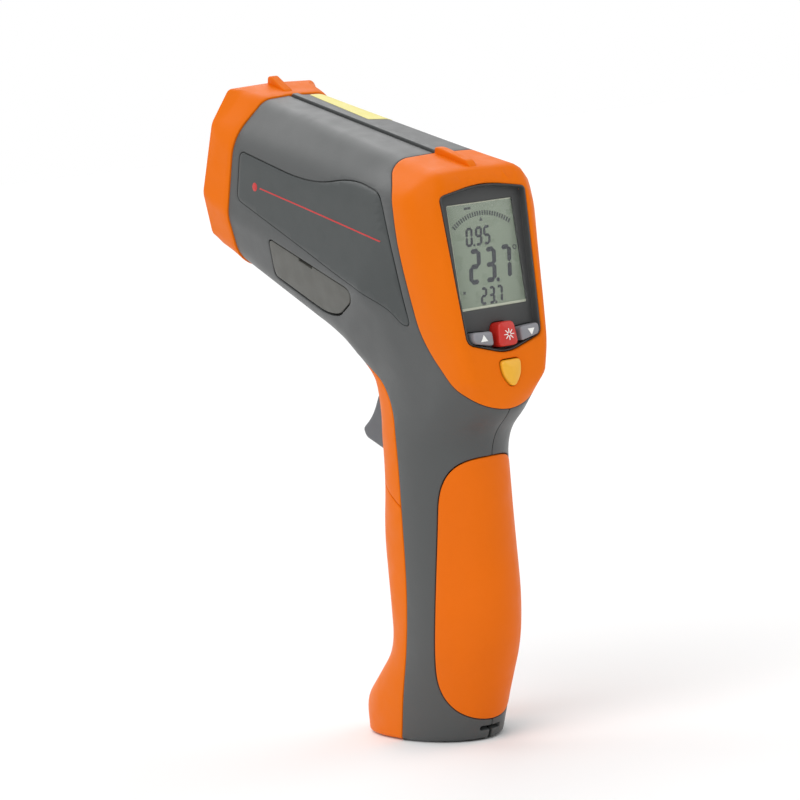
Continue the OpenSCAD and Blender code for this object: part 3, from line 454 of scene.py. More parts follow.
def shift(surface, loop, dist):
    """Moves a loop that turns left inward by dist millimetres, outward where dist is below 0."""
    a, b = surface.tangents(loop)
    d0, d1 = loop - np.roll(loop, 1, 0), np.roll(loop, -1, 0) - loop
    n = unit(np.cross(a, b))
    m0, m1 = (np.cross(n, unit(a * d[:, :1] + b * d[:, 1:])) for d in (d0, d1))
    m = (m0 + m1) / np.maximum(1 + np.sum(m0 * m1, 1), 0.5)[:, None]
    aa, bb, ab = np.sum(a * a, 1), np.sum(b * b, 1), np.sum(a * b, 1)
    ma, mb = np.sum(m * a, 1), np.sum(m * b, 1)
    det = np.maximum(aa * bb - ab * ab, 1e-9)
    step = np.stack([(ma * bb - mb * ab) / det, (mb * aa - ma * ab) / det], 1)
    return surface.moved(loop, step * np.broadcast_to(dist, (len(loop),))[:, None])


def added(name, data):
    ob = bpy.data.objects.new(name, data)
    scene.collection.objects.link(ob)
    return ob


SHARP = math.radians(40)


def mesh_object(name, verts, faces, mat, body="housing"):
    me = bpy.data.meshes.new(name)
    me.from_pydata(standing(verts).tolist(), [], [list(map(int, f)) for f in faces])
    bm = bmesh.new()
    bm.from_mesh(me)
    bmesh.ops.remove_doubles(bm, verts=bm.verts, dist=1e-7)
    bmesh.ops.recalc_face_normals(bm, faces=bm.faces)
    bm.to_mesh(me)
    bm.free()
    me.shade_smooth()
    me.set_sharp_from_angle(angle=SHARP)
    me.materials.append(mat)
    ob = added(name, me)
    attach(ob, body)
    return ob


# Room beside a loop that the grid of points keeps free, and how round most edges are.
CLEAR = 0.3
EDGE_ROUND = 0.35


def patch(name, surface, loops, mat, thick, radius=EDGE_ROUND, body="housing", lift=0.0, step=1.7, steps=(),
          crown=None, gap=0.0, arcs=4, two_sided=False):
    """A closed plate on a surface: an outer loop, then holes, with edges rounded by radius.
    A list of radii has one for each loop, the same all round or point by point.
    steps: (loop, [(offset, depth), ...]) for a face that drops inside a loop.
    crown(points) adds to the face's height.
    A two-sided plate stands as far on the other side of the surface."""
    pts, deps, cons, fence = [], [], [], []
    count = 0

    def add(line, dep):
        nonlocal count
        n = len(line)
        pts.append(line)
        deps.append(np.broadcast_to(dep, (n,)))
        cons.append(np.stack([np.arange(n), np.roll(np.arange(n), -1)], 1) + count)
        count += n

    radii = radius if isinstance(radius, list) else [radius] * len(loops)
    edges = []
    for k, (loop, rad) in enumerate(zip(loops, radii)):
        rad = np.asarray(rad, float)
        base = turning_left(surface, loop)
        if rad.ndim and base is not loop:
            rad = rad[::-1]
        sense = 1.0 if k == 0 else -1.0
        base = shift(surface, base, sense * gap)
        sunk = sum(offsets[-1][1] for ledge, offsets in steps
                   if k and inside(surface.flat(base[:1]), surface.flat(ledge))[0])
        edges.append(base)
        for i in range(arcs + 1):
            f = math.pi / 2 * i / arcs
            line = shift(surface, base, sense * rad * (1 - math.cos(f))) if i else base
            add(line, sunk + rad * (1 - math.sin(f)))
        fence.append(shift(surface, base, sense * (rad + CLEAR)))
    for loop, offsets in steps:
        base = turning_left(surface, loop)
        for off, dep in offsets:
            add(shift(surface, base, off), dep)
    grid = surface.grid(edges[0].min(0), edges[0].max(0), step)
    fl = surface.flat(grid)
    keep = inside(fl, surface.flat(fence[0]))
    for hole in fence[1:]:
        keep &= ~inside(fl, surface.flat(hole))
    depth = np.zeros(len(grid))
    for loop, offsets in steps:
        base = turning_left(surface, loop)
        within = inside(fl, surface.flat(shift(surface, base, offsets[-1][0] + CLEAR)))
        keep &= within | ~inside(fl, surface.flat(shift(surface, base, offsets[0][0] - CLEAR)))
        depth = np.where(within, offsets[-1][1], depth)
    allp = np.vstack(pts + [grid[keep]])
    alld = np.concatenate(deps + [depth[keep]])
    f2 = surface.flat(allp)
    bonds = [tuple(map(int, e)) for c in cons for e in c]
    vs, _, fs, orig, _, _ = delaunay_2d_cdt([Vector(v) for v in f2], bonds, [], 0, 1e-5)
    co = np.array([v[:] for v in vs])
    src = np.array([o[0] if o else int(np.argmin(np.sum((f2 - c) ** 2, 1))) for o, c in zip(orig, co)])
    tri = np.array([f for f in fs if len(f) == 3])
    mid = co[tri].mean(1)
    keep = inside(mid, surface.flat(edges[0]))
    for hole in edges[1:]:
        keep &= ~inside(mid, surface.flat(hole))
    tri = src[tri[keep]]
    tri = tri[np.all(tri != np.roll(tri, 1, 1), 1)]
    used, tri = np.unique(tri, return_inverse=True)
    tri = tri.reshape(-1, 3)
    base, nrm = surface.at(allp[used]), surface.normals(allp[used])
    out = lift - alld[used] + (crown(allp[used]) if crown else 0)
    top = base + nrm * out[:, None]
    low = base - nrm * (out[:, None] if two_sided else thick - lift)
    n = len(used)
    pairs = set(map(tuple, np.concatenate([tri[:, [0, 1]], tri[:, [1, 2]], tri[:, [2, 0]]])))
    walls = [(a, a + n, b + n, b) for a, b in pairs if (b, a) not in pairs]
    faces = [tuple(t) for t in tri] + [tuple(t + n) for t in tri[:, ::-1]] + walls
    return mesh_object(name, np.vstack([top, low]), faces, mat, body)


def ring_faces(k, n):
    """Faces between k rings of n points, the last ring joined to the first."""
    return [(i * n + j, i * n + (j + 1) % n, (i + 1) % k * n + (j + 1) % n, (i + 1) % k * n + j)
            for i in range(k) for j in range(n)]


def dress(piece, slot, *replaced):
    if replaced:
        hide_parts(*replaced)


# Finishes.
def srgb(r, g, b):
    return [v / 12.92 if v <= 0.04045 else ((v + 0.055) / 1.055) ** 2.4 for v in (r / 255, g / 255, b / 255)]


def fill(node, **values):
    """Sets the inputs of a shader node. An underscore stands for a space in their names."""
    for name, value in values.items():
        node.inputs[name.replace("_", " ")].default_value = value
    return node


def new_node(tree, kind, **values):
    return fill(tree.nodes.new("ShaderNode" + kind), **values)


# Scale and detail of the drift in colour, the clouds in the gloss and the grain.
DRIFT, CLOUDS, GRAIN = (38.0, 5.0), (160.0, 4.0), (1400.0, 3.0)
GRAIN_DEPTH = 0.0002
FINISHES = {}


def finish(name, color, rough, grain=0.12, tint=0.05, vary=0.07, metallic=0.0, alpha=1.0, shine=0.5):
    """Moulded surface: fine grain in its bump, clouded gloss and a slight drift of colour."""
    mat = bpy.data.materials.new(name)
    mat.use_nodes = True
    tree = mat.node_tree
    bsdf = fill(tree.nodes["Principled BSDF"], Metallic=metallic, Alpha=alpha, Specular_IOR_Level=shine)
    link = tree.links.new
    coords = new_node(tree, "TexCoord")

    def noise(scale, detail):
        node = new_node(tree, "TexNoise", Scale=scale, Detail=detail)
        link(coords.outputs["Object"], node.inputs["Vector"])
        return node.outputs["Fac"]

    base = np.array(srgb(*color))
    mix = new_node(tree, "Mix")
    mix.data_type = "RGBA"
    fill(mix, A=(*(base * (1 - tint)), 1), B=(*np.minimum(base * (1 + tint), 1), 1))
    link(noise(*DRIFT), mix.inputs["Factor"])
    link(mix.outputs["Result"], bsdf.inputs["Base Color"])
    gloss = new_node(tree, "MapRange", From_Min=0.3, From_Max=0.7, To_Min=max(rough - vary, 0.02),
                     To_Max=min(rough + vary, 1.0))
    link(noise(*CLOUDS), gloss.inputs["Value"])
    link(gloss.outputs["Result"], bsdf.inputs["Roughness"])
    bump = new_node(tree, "Bump", Strength=grain, Distance=GRAIN_DEPTH)
    link(noise(*GRAIN), bump.inputs["Height"])
    link(bump.outputs["Normal"], bsdf.inputs["Normal"])
    FINISHES[name] = mat
    return mat


GREY = finish("grey_shell", (74, 76, 76), 0.42, tint=0.03, vary=0.04, shine=0.4)
ORANGE = finish("orange_shell", (228, 110, 2), 0.46, shine=0.1)
GRIP = finish("orange_grip", (226, 106, 2), 0.5, grain=0.2, shine=0.14)
LABEL = finish("label_film", (60, 64, 64), 0.36, grain=0.05, shine=0.35)
DOOR = finish("door_grey", (80, 80, 75), 0.5)
LINER = finish("liner_grey", (66, 67, 67), 0.5, shine=0.3)
finish("dark_plastic", (52, 54, 57), 0.5)
TRIGGER = finish("trigger_grey", (86, 88, 92), 0.42)
finish("black_plastic", (24, 24, 26), 0.5)
KEY = finish("key_grey", (130, 130, 135), 0.5, grain=0.08)
RED = finish("key_red", (190, 34, 24), 0.42, grain=0.08)
YELLOW = finish("key_yellow", (232, 172, 36), 0.42, grain=0.08)
MARK = finish("mark_white", (236, 236, 232), 0.6, grain=0.05)
STICKER = finish("sticker_film", (232, 222, 140), 0.5, grain=0.04, shine=0.2)
LINE = finish("line_red", (190, 40, 40), 0.5, grain=0.04)
LCD = finish("lcd_glass", (128, 140, 122), 0.3, grain=0.02, tint=0.03)
DIGIT = finish("lcd_digit", (26, 30, 40), 0.4, grain=0.02)
FAINT = finish("lcd_faint", (56, 62, 60), 0.4, grain=0.02)
EDGE_PALE = finish("lcd_edge", (186, 190, 170), 0.4, grain=0.02)
WINDOW = finish("window", (225, 230, 228), 0.08, grain=0.0, alpha=0.03, vary=0.02, shine=0.3)
finish("lens", (120, 122, 132), 0.12, grain=0.01, metallic=0.6, vary=0.03)
finish("laser_glass", (120, 26, 28), 0.08, grain=0.01, vary=0.02)
finish("steel", (190, 192, 196), 0.3, grain=0.05, metallic=1.0)
finish("brass", (205, 170, 95), 0.32, grain=0.05, metallic=1.0)
finish("circuit", (28, 92, 52), 0.4, grain=0.1)
finish("probe_yellow", (222, 196, 60), 0.5)
finish("battery_can", (58, 60, 66), 0.35)

FINISHES["lcd"] = LCD
for part in frame["record"]["subparts"]:
    mesh = frame["nodes"][part["node"]].data
    mesh.materials.clear()
    mesh.materials.append(FINISHES[part["material_slot"]])

# Dividing lines drawn in side view.
TAB_FRONT = 45.6
RIB_HALF = 1.2
RIB_ROOM, GROOVE = 0.15, 0.65
STRIP_Y = 90.0
CAP_Q = PIVOT[0] - CAP_Y
SPLIT, SPLIT_SLOPE = (53.0, 81.5), math.tan(math.radians(16))
bezel_line = side_curve(rounded([
    (TAB_FRONT, 193.5, 0), (TAB_FRONT, 189, 2), (36.4, 184, 6), (20.8, 137.6, 9), (-6, 114, 0)]))
strip_line = side_curve(rounded([
    (STRIP_Y, 110, 0), (STRIP_Y, 126, 0), (41, 115.4, 13), (24.8, 40, 22), (28, -30, 0)]))
strip_line = strip_line[strip_line[:, 0] <= FOOT_Q]
grip_line = side_curve(rounded([
    (-30, 101.5, 0), (18.2, 101.5, 22), (11.8, 42, 30), (10.4, 7.3, 18), (-30, 7.3, 0)]))
split_line = side_curve([(20, SPLIT[1] - 33 * SPLIT_SLOPE), (80, SPLIT[1] + 27 * SPLIT_SLOPE)])


def mirrored(line):
    """The same line on the other side of the body."""
    return line * (1, -1)


def about_back(half):
    return np.vstack([half, mirrored(half)[::-1]])


def about_front(half):
    return np.vstack([half, (mirrored(half) - (0, 2 * FRONT_U))[::-1]])


# Strap slot across the back of the foot, in the halves' meeting line.
SLOT_HALF, SLOT_MID, SLOT_H, STEM_HALF = 3.9, 4.3, 1.5, 0.4
slot_low, slot_high = level(SLOT_MID - SLOT_H / 2), level(SLOT_MID + SLOT_H / 2)
slot_s, stem_s = (u_of_across(level(SLOT_MID), half) for half in (SLOT_HALF, STEM_HALF))


def half_outline(room):
    """Outline of the left half, its top edge room away from the rib."""
    def u_rib(q):
        return u_of_across(q, RIB_HALF + room)

    side = bezel_line[np.argmax(bezel_line[:, 1] > u_rib(bezel_line[0, 0])):]
    loop = np.vstack([
        np.linspace((CAP_Q, -u_rib(CAP_Q)), (CAP_Q, -FRONT_U), 90),
        np.linspace((CAP_Q, -FRONT_U), (PIVOT[0] - STRIP_Y, -FRONT_U), 60),
        mirrored(strip_line),
        np.linspace((FOOT_Q, -strip_line[-1, 1]), (FOOT_Q, -stem_s), 70),
        [(slot_low, -stem_s), (slot_low, -slot_s), (slot_high, -slot_s), (slot_high, 0)],
        mirrored(grip_line[::-1]),
        mirrored(side[::-1]),
        np.array([(q, -u_rib(q)) for q in np.linspace(side[0, 0], CAP_Q, 60)])])
    return respace(SKIN, loop)


half_loop = half_outline(GROOVE)
SHELL_T, BEZEL_T, STRIP_T, GRIP_T, FLAP_T, LABEL_T = 2.4, 3.0, 2.2, 1.5, 1.5, 0.7
FOOT_ROUND, HEEL_ROUND, SEAM_ROUND = 1.8, 1.2, 0.15


def edge_radius(loop):
    """Roundness of each edge of a half: broad at the foot, fine along the meeting lines."""
    u = np.abs(loop[:, 1])
    fine = (u < 0.02) | (u > FRONT_U - 0.02) | ((loop[:, 0] < 40) & (u < 0.5))
    r = np.where(loop[:, 0] > FOOT_Q - 0.05, FOOT_ROUND, np.where(fine, SEAM_ROUND, EDGE_ROUND))
    return sum(np.roll(r, k) for k in range(-2, 3)) / 5


def side_loop(corners, n=10, step=0.6):
    """A closed outline drawn in side view, on the left of the skin."""
    return mirrored(np.array([u_of_side(y, z) for y, z in outline(corners, n, step)]))


def bevel_place(z, y):
    """Distance of the lower bevel from the middle, at height z and place y."""
    q = PIVOT[0] - y
    o, _ = section_frame(q)
    h = half_section(q, U_FINE)
    low = U_FINE >= 8
    return float(np.interp(z - o[0, 1], h[low][::-1, 1], h[low][::-1, 0]))


# Flap over the sockets: outline along and up the lower bevel.
DOOR_Y, DOOR_Z, DOOR_SLOPE = 83.0, 140.8, math.radians(4.8)
FLAP = [(-25, -6.5, 2.4), (7.5, -8.3, 6), (16.4, -5.7, 3), (25.2, 3, 2.5), (24.6, 7, 3), (-25, 7.9, 2)]
FLAP_GAPS = [0.5, 0.5, 0.45, 0.28, 0.28, 0.28]
BEVEL_HALF = 4
bevel_run = bevel_place(DOOR_Z - BEVEL_HALF, DOOR_Y) - bevel_place(DOOR_Z + BEVEL_HALF, DOOR_Y)
bevel_up = 2 * BEVEL_HALF / math.hypot(2 * BEVEL_HALF, bevel_run)


def on_bevel(pts):
    """Points given along and up the lower bevel, as (q, s) on the left."""
    c, s = math.cos(DOOR_SLOPE), math.sin(DOOR_SLOPE)
    return mirrored(np.array([u_of_side(DOOR_Y - (x * c + y * s), DOOR_Z + (y * c - x * s) * bevel_up)
                              for x, y in pts]))


def grown(corners, steps):
    """Corners of the polygon whose edges, each from one corner to the next, move out by the given steps."""
    p = np.array(corners)[:, :2]
    along = np.roll(p, -1, 0) - p
    out = np.stack([along[:, 1], -along[:, 0]], 1) / np.linalg.norm(along, axis=1)[:, None]
    moves = [np.linalg.solve(out[[i - 1, i]], (steps[i - 1], steps[i])) for i in range(len(p))]
    return [(*(p[i] + moves[i]), c[2]) for i, c in enumerate(corners)]


door_hole = on_bevel(outline(grown(FLAP, FLAP_GAPS), 10, 0.6))

# Left shell with the recess of the side label, and the label's plate.
LABEL_CORNERS = [(129.5, 176.8, 3), (84, 175.8, 18), (62, 182.8, 8), (42.5, 182.4, 5), (34, 167, 10),
                 (30, 154.6, 10), (26, 141.6, 2.5), (30, 140.9, 2.5), (36, 144.8, 6), (129, 159.4, 3)]
# A line just above the label's lower edge, and the gaps round its plate below and above that line.
LABEL_LOW, LABEL_SLOPE = (129, 160), 0.15
LOW_GAP, PLATE_GAP = 0.16, 0.4
label_loop = side_loop(LABEL_CORNERS)
label_step = [(-0.3, 0.0), (-0.08, 0.08), (0.1, 0.75)]
dress(patch("left_shell", SKIN, [half_loop, door_hole], GREY, SHELL_T, radius=[edge_radius(half_loop), 0.3],
            gap=0.1, steps=[(label_loop, label_step)]), "grey_shell", "left_housing")
plate_loop = turning_left(SKIN, label_loop)
plate_at = SKIN.at(plate_loop)
low_edge = plate_at[:, 2] < LABEL_LOW[1] + (plate_at[:, 1] - LABEL_LOW[0]) * LABEL_SLOPE
plate_gap = np.where(low_edge, LOW_GAP, PLATE_GAP)
plate_gap = sum(np.roll(plate_gap, k) for k in range(-4, 5)) / 9
dress(patch("label_plate", SKIN, [plate_loop], LABEL, LABEL_T, radius=0.15, gap=plate_gap, lift=-0.02,
            arcs=2), "dark_plastic")

# Right shell, with wells for the screws that pull the halves together.
SCREWS = [(112, 185.5), (60, 184), (117, 139), (33, 124), (24, 88)]
WELL_R, WELL_SEAT, WELL_WALL = 3.1, 8.0, 1.2
WELL_BORE, WELL_FLOOR, WELL_FIT, WELL_CHAMFER, WELL_SINK = 1.7, 2.0, 0.05, 0.4, 0.5
turns = np.linspace(0, 2 * math.pi, 40, endpoint=False)
CIRCLE = np.stack([np.cos(turns), np.sin(turns)], 1)
wells = [np.array([u_of_side(y + WELL_R * c, z + WELL_R * d) for c, d in CIRCLE]) for y, z in SCREWS]
right_loop = mirrored(half_outline(RIB_ROOM))
dress(patch("right_shell", SKIN, [right_loop] + wells, GREY, SHELL_T,
            radius=[edge_radius(right_loop)] + [0.3] * len(wells), gap=0.1), "grey_shell", "right_housing")
turned = CIRCLE @ np.array([(0, -0.8, 0.6), (0, -0.6, -0.8)])
well_in, well_out, well_low = WELL_R + WELL_FIT, WELL_R + WELL_WALL, WELL_SEAT - WELL_FLOOR
for i, ((y, z), well) in enumerate(zip(SCREWS, wells)):
    rim = float(SKIN.at(well)[:, 0].min()) - WELL_SINK
    cup = [(WELL_BORE, well_low), (well_out, well_low), (well_out, rim), (well_in, rim),
           (well_in, WELL_SEAT + WELL_CHAMFER), (well_in - WELL_CHAMFER, WELL_SEAT), (WELL_BORE, WELL_SEAT)]
    verts = np.concatenate([(across, y, z) + r * turned for r, across in cup])
    faces = ring_faces(len(cup), len(CIRCLE))
    dress(mesh_object(f"screw_well_{i + 1}", verts, faces, GREY), "grey_shell")

# Rear bezel round the display, with the openings for the recess and the mode key.
FACE_MID = 32.2
face_at = np.array([SETBACK - FACE_MID * math.sin(TILT), TOP - FACE_MID * math.cos(TILT)])
FACE_UP = np.array([math.sin(TILT), math.cos(TILT)])
FACE_PLANE = Plane((0, *face_at), (1, 0, 0), (0, *FACE_UP))


def face_loop(corners, grow=0.0, step=0.5):
    return shift(FACE_PLANE, turning_left(FACE_PLANE, outline(corners, 8, step)), -grow)


def on_skin(face_pts):
    """Points of the face plane, as (q, s) on the skin behind them."""
    qs = [q_of(*(face_at + v * FACE_UP)) for _, v in face_pts]
    return np.array([(q, math.copysign(u_of_across(q, x), x)) for q, (x, _) in zip(qs, face_pts)])


RECESS = [(-14.8, -23, 2.5), (0, -27.8, 5), (14.8, -23, 2.5), (17.1, 25.4, 1.8), (0, 28.3, 16),
          (-17.1, 25.4, 1.8)]
MODE_V = -34.4
MODE = [(-3.9, MODE_V + 4.7, 1.6), (-3.5, MODE_V - 0.4, 2.4), (0, MODE_V - 4.8, 2.4),
        (3.5, MODE_V - 0.4, 2.4), (3.9, MODE_V + 4.7, 1.6)]
bezel_loop = respace(SKIN, about_back(mirrored(bezel_line)))
bezel_holes = [on_skin(face_loop(RECESS)), on_skin(face_loop(MODE, 0.25))]
dress(patch("bezel_shell", SKIN, [bezel_loop] + bezel_holes, ORANGE, BEZEL_T, radius=[EDGE_ROUND, 0.8, 0.4],
            gap=0.1, step=1.2), "orange_shell", "rear_bezel")

# Trigger surround and battery door round the front of the handle, and the grip panel round its back.
strip_at = SKIN.at(strip_line)
strip_z = strip_at[:, 2] - SPLIT[1] - (strip_at[:, 1] - SPLIT[0]) * SPLIT_SLOPE
cross = int(np.where(strip_z < 0)[0][0])
split_part = split_line[split_line[:, 1] > strip_line[cross, 1]]
TRIGGER_HALF, SLOT_ENDS = 6.5, (83.2, 115.5)
front_z = np.linspace(*SLOT_ENDS, 120)
front_q = [q_of(float(np.interp(z, FRONT[::-1, 1], FRONT[::-1, 0])), z) for z in front_z]
slot_half = np.array([(q, -u_of_across(q, TRIGGER_HALF, front=True)) for q in front_q])
slot_half = np.vstack([[(slot_half[0, 0], -FRONT_U)], slot_half, [(slot_half[-1, 0], -FRONT_U)]])
slot_loop = respace(SKIN, about_front(slot_half), 0.6)
surround_half = np.vstack([mirrored(strip_line[:cross]), mirrored(split_part)])
surround_loop = respace(SKIN, about_front(surround_half))
dress(patch("surround_shell", SKIN, [surround_loop, slot_loop], ORANGE, STRIP_T, radius=[EDGE_ROUND, 0.6],
            gap=0.2, step=1.2), "orange_shell", "trigger_surround")
DOOR_FOOT = 0.3
door_q = level(DOOR_FOOT)
low_strip = strip_line[cross:]
low_strip = low_strip[low_strip[:, 0] < door_q]
door_end = np.linspace((door_q, -low_strip[-1, 1]), (door_q, -FRONT_U), 60)
battery_half = np.vstack([mirrored(split_part[::-1]), mirrored(low_strip), door_end])
battery_loop = respace(SKIN, about_front(battery_half))
battery_round = np.where(battery_loop[:, 0] > door_q - 0.05, HEEL_ROUND, EDGE_ROUND)
dress(patch("battery_door_shell", SKIN, [battery_loop], ORANGE, STRIP_T, radius=[battery_round],
            body="battery_door", gap=0.2), "orange_shell", "battery_door")
grip_loop = respace(SKIN, about_back(mirrored(grip_line)))
dress(patch("grip_panel", SKIN, [grip_loop], GRIP, GRIP_T, radius=0.45, gap=0.28, lift=0.1),
      "orange_grip", "rear_grip")

# Soles that close the foot: the housing's, with a tongue and the insert's hole, and the battery door's.
SOLE_INSET, SOLE_T, SOLE_GAP = 2.0, 2.4, 0.02
SOLE_Z, DOOR_SOLE_Z = 0.15, 0.4
TONGUE_HALF, TONGUE_END, INSERT_R = 12.4, 24.0, 4.9
DOOR_CUT = [(13.1, 30.6), (8.5, 30.6), (8.5, 37.6)]


def foot_plane(z):
    """A plane square to the foot, facing down, with points as (across, forward) from the insert."""
    return Plane((0, FOOT_CENTER * COS + z * SIN, z * COS - FOOT_CENTER * SIN), (-1, 0, 0), (0, COS, -SIN))


def foot_edge(u0, u1):
    """The foot's edge from u0 to u1, set in, as (across, forward) points."""
    return standing(place(FOOT_Q, np.linspace(u0, u1, 50), SOLE_INSET))[:, :2] * 1000


def sole(name, half, holes, z, mat, body):
    plane = foot_plane(z)
    loop = respace(plane, np.vstack([half, (half * (-1, 1))[::-1]]))
    return patch(name, plane, [loop] + holes, mat, SOLE_T, radius=0.2, body=body, step=4.0)


sole_u = strip_line[-1, 1]
back_edge = foot_edge(0, sole_u * (1 - SOLE_GAP))
tongue = np.array([(TONGUE_HALF, back_edge[-1, 1]), (TONGUE_HALF, TONGUE_END), (0, TONGUE_END)])
dress(sole("foot_sole", np.vstack([back_edge, tongue]), [INSERT_R * CIRCLE], SOLE_Z, GREY, "housing"),
      "grey_shell")
front_edge = foot_edge(FRONT_U, sole_u * (1 + SOLE_GAP))
cut = np.array([(DOOR_CUT[0][0], front_edge[-1, 1])] + DOOR_CUT + [(0, DOOR_CUT[-1][1])])
dress(sole("battery_door_sole", np.vstack([front_edge, cut]), [], DOOR_SOLE_Z, ORANGE, "battery_door"),
      "orange_shell")

# Nose: hood that turns from the body's section to a crisp rim, with a rounded lip.
HOOD_WALL = 4.4
PLATE_FRONT = 145.0
RIM = [(0, TOP + 1.1), (17.6, TOP + 0.4), (24, TOP - 11), (27, NOSE_BOTTOM + 25), (22.6, NOSE_BOTTOM + 9),
       (0, NOSE_BOTTOM - 1)]
# Place along the barrel, inset from the body's skin, and share of the rim in the section.
HOOD = [(CAP_Y + 0.12, 2.6, 0), (CAP_Y + 0.12, -0.15, 0), (CAP_Y + 0.25, -0.38, 0), (CAP_Y + 0.5, -0.48, 0),
        (137, -0.6, 0.15), (140, -0.7, 0.28), (143.7, -0.85, 0.4), (145.2, -0.95, 0.44), (147.4, -1, 0.75),
        (148.8, -1, 0.95), (149.3, -1, 0.98)]
LIP = [(149.7, 0.95), (149.93, 0.88), (150, 0.8), (150, 0.3), (149.85, 0.14), (149.5, 0.04), (148.8, 0),
       (PLATE_FRONT, 0)]
HOOD += [(y, HOOD_WALL, share) for y, share in LIP] + [(PLATE_FRONT, 2.7, 0)]


def hood():
    s = np.unique(np.concatenate([-U_GRID, U_GRID]))[:-1]
    u = np.abs(s)
    n = len(s)
    rim = eased([np.broadcast_to(np.array(c, float), (n, 2)) for c in RIM], (1.5, 1.5, 1.5, 2), u)
    verts = []
    for y, inset, share in HOOD:
        h = (1 - share) * (half_section(PIVOT[0] - y, u, inset) + (0, PIVOT[1])) + share * rim
        verts.append(np.stack([np.where(s < 0, -1, 1) * h[:, 0], np.full(n, y), h[:, 1]], 1))
    return mesh_object("nose_hood", np.concatenate(verts), ring_faces(len(HOOD), n), ORANGE)


dress(hood(), "orange_shell", "nose_cap")

# Sight tabs, and the rib between them.
SIDE_PLANE = Plane((0, 0, 0), (0, 1, 0), (0, 0, 1))


def side_slab(name, corners, half, radius, mat, body="housing", step=0.5):
    """A piece drawn in side view, the same to the left and the right, with rounded edges."""
    return patch(name, SIDE_PLANE, [outline(corners, 8, step)], mat, 0, radius=radius, body=body, lift=half,
                 two_sided=True)


SIGHT_HALF, TAB_HALF = 1.7, 1.5
NOSE_SIGHT = [(136, 192, 0), (137.2, 193.9, 1), (147.5, 197, 0.8), (149, 196.4, 0.8), (149, 192, 0)]
REAR_SIGHT = [(TAB_FRONT, 192, 0), (TAB_FRONT, 194.8, 0.5), (43, 195.2, 1.5), (27, 194.6, 1.8),
              (24.6, 192, 0)]
rib_back, rib_front = TAB_FRONT + 0.2, CAP_Y - 0.2
TOP_RIB = [(rib_back, 191.4, 0), (rib_front, 191.4, 0), (rib_front, 193.8, 0.3), (rib_back, 193.8, 0.3)]
side_slab("nose_sight", NOSE_SIGHT, SIGHT_HALF, 0.5, ORANGE)
side_slab("rear_sight", REAR_SIGHT, TAB_HALF, 0.5, ORANGE)
side_slab("top_rib", TOP_RIB, RIB_HALF, 0.3, GREY, step=1.5)

# Display: liner of the recess, glass, panel and keys.
RECESS_DEPTH, RIM_DROP, STACK, LCD_DEPTH = 3.6, 0.9, 5.0, 4.3
LCD_W, LCD_L, LCD_V = 26.0, 34.4, 4.9
GLASS_T, PANEL_T = 0.4, 1.6
KEY_V, KEY_U = -22.0, 9.3
LCD_X, LCD_LOW, LCD_TOP = LCD_W / 2, LCD_V - LCD_L / 2, LCD_V + LCD_L / 2


def box(x0, x1, v0, v1, *r):
    """Corners of a box, each with the length of its rounding where one is given."""
    return [(x0, v0, *r), (x1, v0, *r), (x1, v1, *r), (x0, v1, *r)]


def box_about(x, v, w, h, *r):
    return box(x - w / 2, x + w / 2, v - h / 2, v + h / 2, *r)


lcd_box = box(-LCD_X, LCD_X, LCD_LOW, LCD_TOP, 0.8)


def side_key(side):
    return [(side * (KEY_U + x), KEY_V + v, r) for x, v, r in
            ((-3.8, -2.5, 1.2), (3.7, -0.9, 1.8), (3.7, 2.7, 1.4), (-3.8, 2.2, 1.2))]


LASER_KEY = [(x, KEY_V + v, 2) for x, v in ((-3.9, -3.3), (3.9, -3.3), (3.1, 4.7), (-3.1, 4.7))]
recess_loop = face_loop(RECESS, -0.15)
key_holes = [face_loop(k, 0.25, step=0.4) for k in (side_key(-1), LASER_KEY, side_key(1))]
liner_lip = [(0.4, 0.0), (0.5, 0.1), (0.58, 0.35), (0.7, 2.2), (0.76, 2.5), (0.85, RECESS_DEPTH - RIM_DROP)]
liner_loops = [recess_loop, face_loop(lcd_box)] + key_holes
dress(patch("recess_liner", FACE_PLANE, liner_loops, LINER, STACK - RIM_DROP, lift=-RIM_DROP, step=1.6,
            radius=[0.2, 0.3, 0.2, 0.2, 0.2], steps=[(recess_loop, liner_lip)]),
      "dark_plastic", "display_frame")
pane_loop = face_loop(lcd_box, -0.1)
dress(patch("display_glass", FACE_PLANE, [pane_loop], WINDOW, GLASS_T, radius=0.1, lift=0.1 - RECESS_DEPTH,
            step=6.0, arcs=2), "window", "display_window")
dress(patch("lcd_panel", FACE_PLANE, [pane_loop], LCD, PANEL_T, radius=0.1, lift=-LCD_DEPTH, step=6.0,
            arcs=2), "lcd")

# How far a key reaches below the face, and how far from its edge its pillow levels out.
KEY_DEPTH, DOME_REACH, DOME_SINK = 5.2, 3.2, 0.6


def key(name, corners, top, mat, slot, rise=0.5):
    loop = face_loop(corners, step=0.35)

    def pillow(p):
        d = np.min(np.linalg.norm(p[:, None] - loop[None], axis=2), 1)
        f = np.clip(d / DOME_REACH, 0, 1)
        return rise * (2 * f - f * f)
    cap = patch(f"{name}_key_cap", FACE_PLANE, [loop], mat, top + KEY_DEPTH, radius=0.55, body=f"{name}_key",
                lift=top - rise * DOME_SINK, step=0.7, crown=pillow)
    dress(cap, slot, f"{name}_button")


key("up", side_key(-1), 0.9, KEY, "key_grey")
key("down", side_key(1), 0.9, KEY, "key_grey")
key("laser", LASER_KEY, 1.5, RED, "key_red", 0.8)
key("mode", MODE, 1.2, YELLOW, "key_yellow", 0.8)

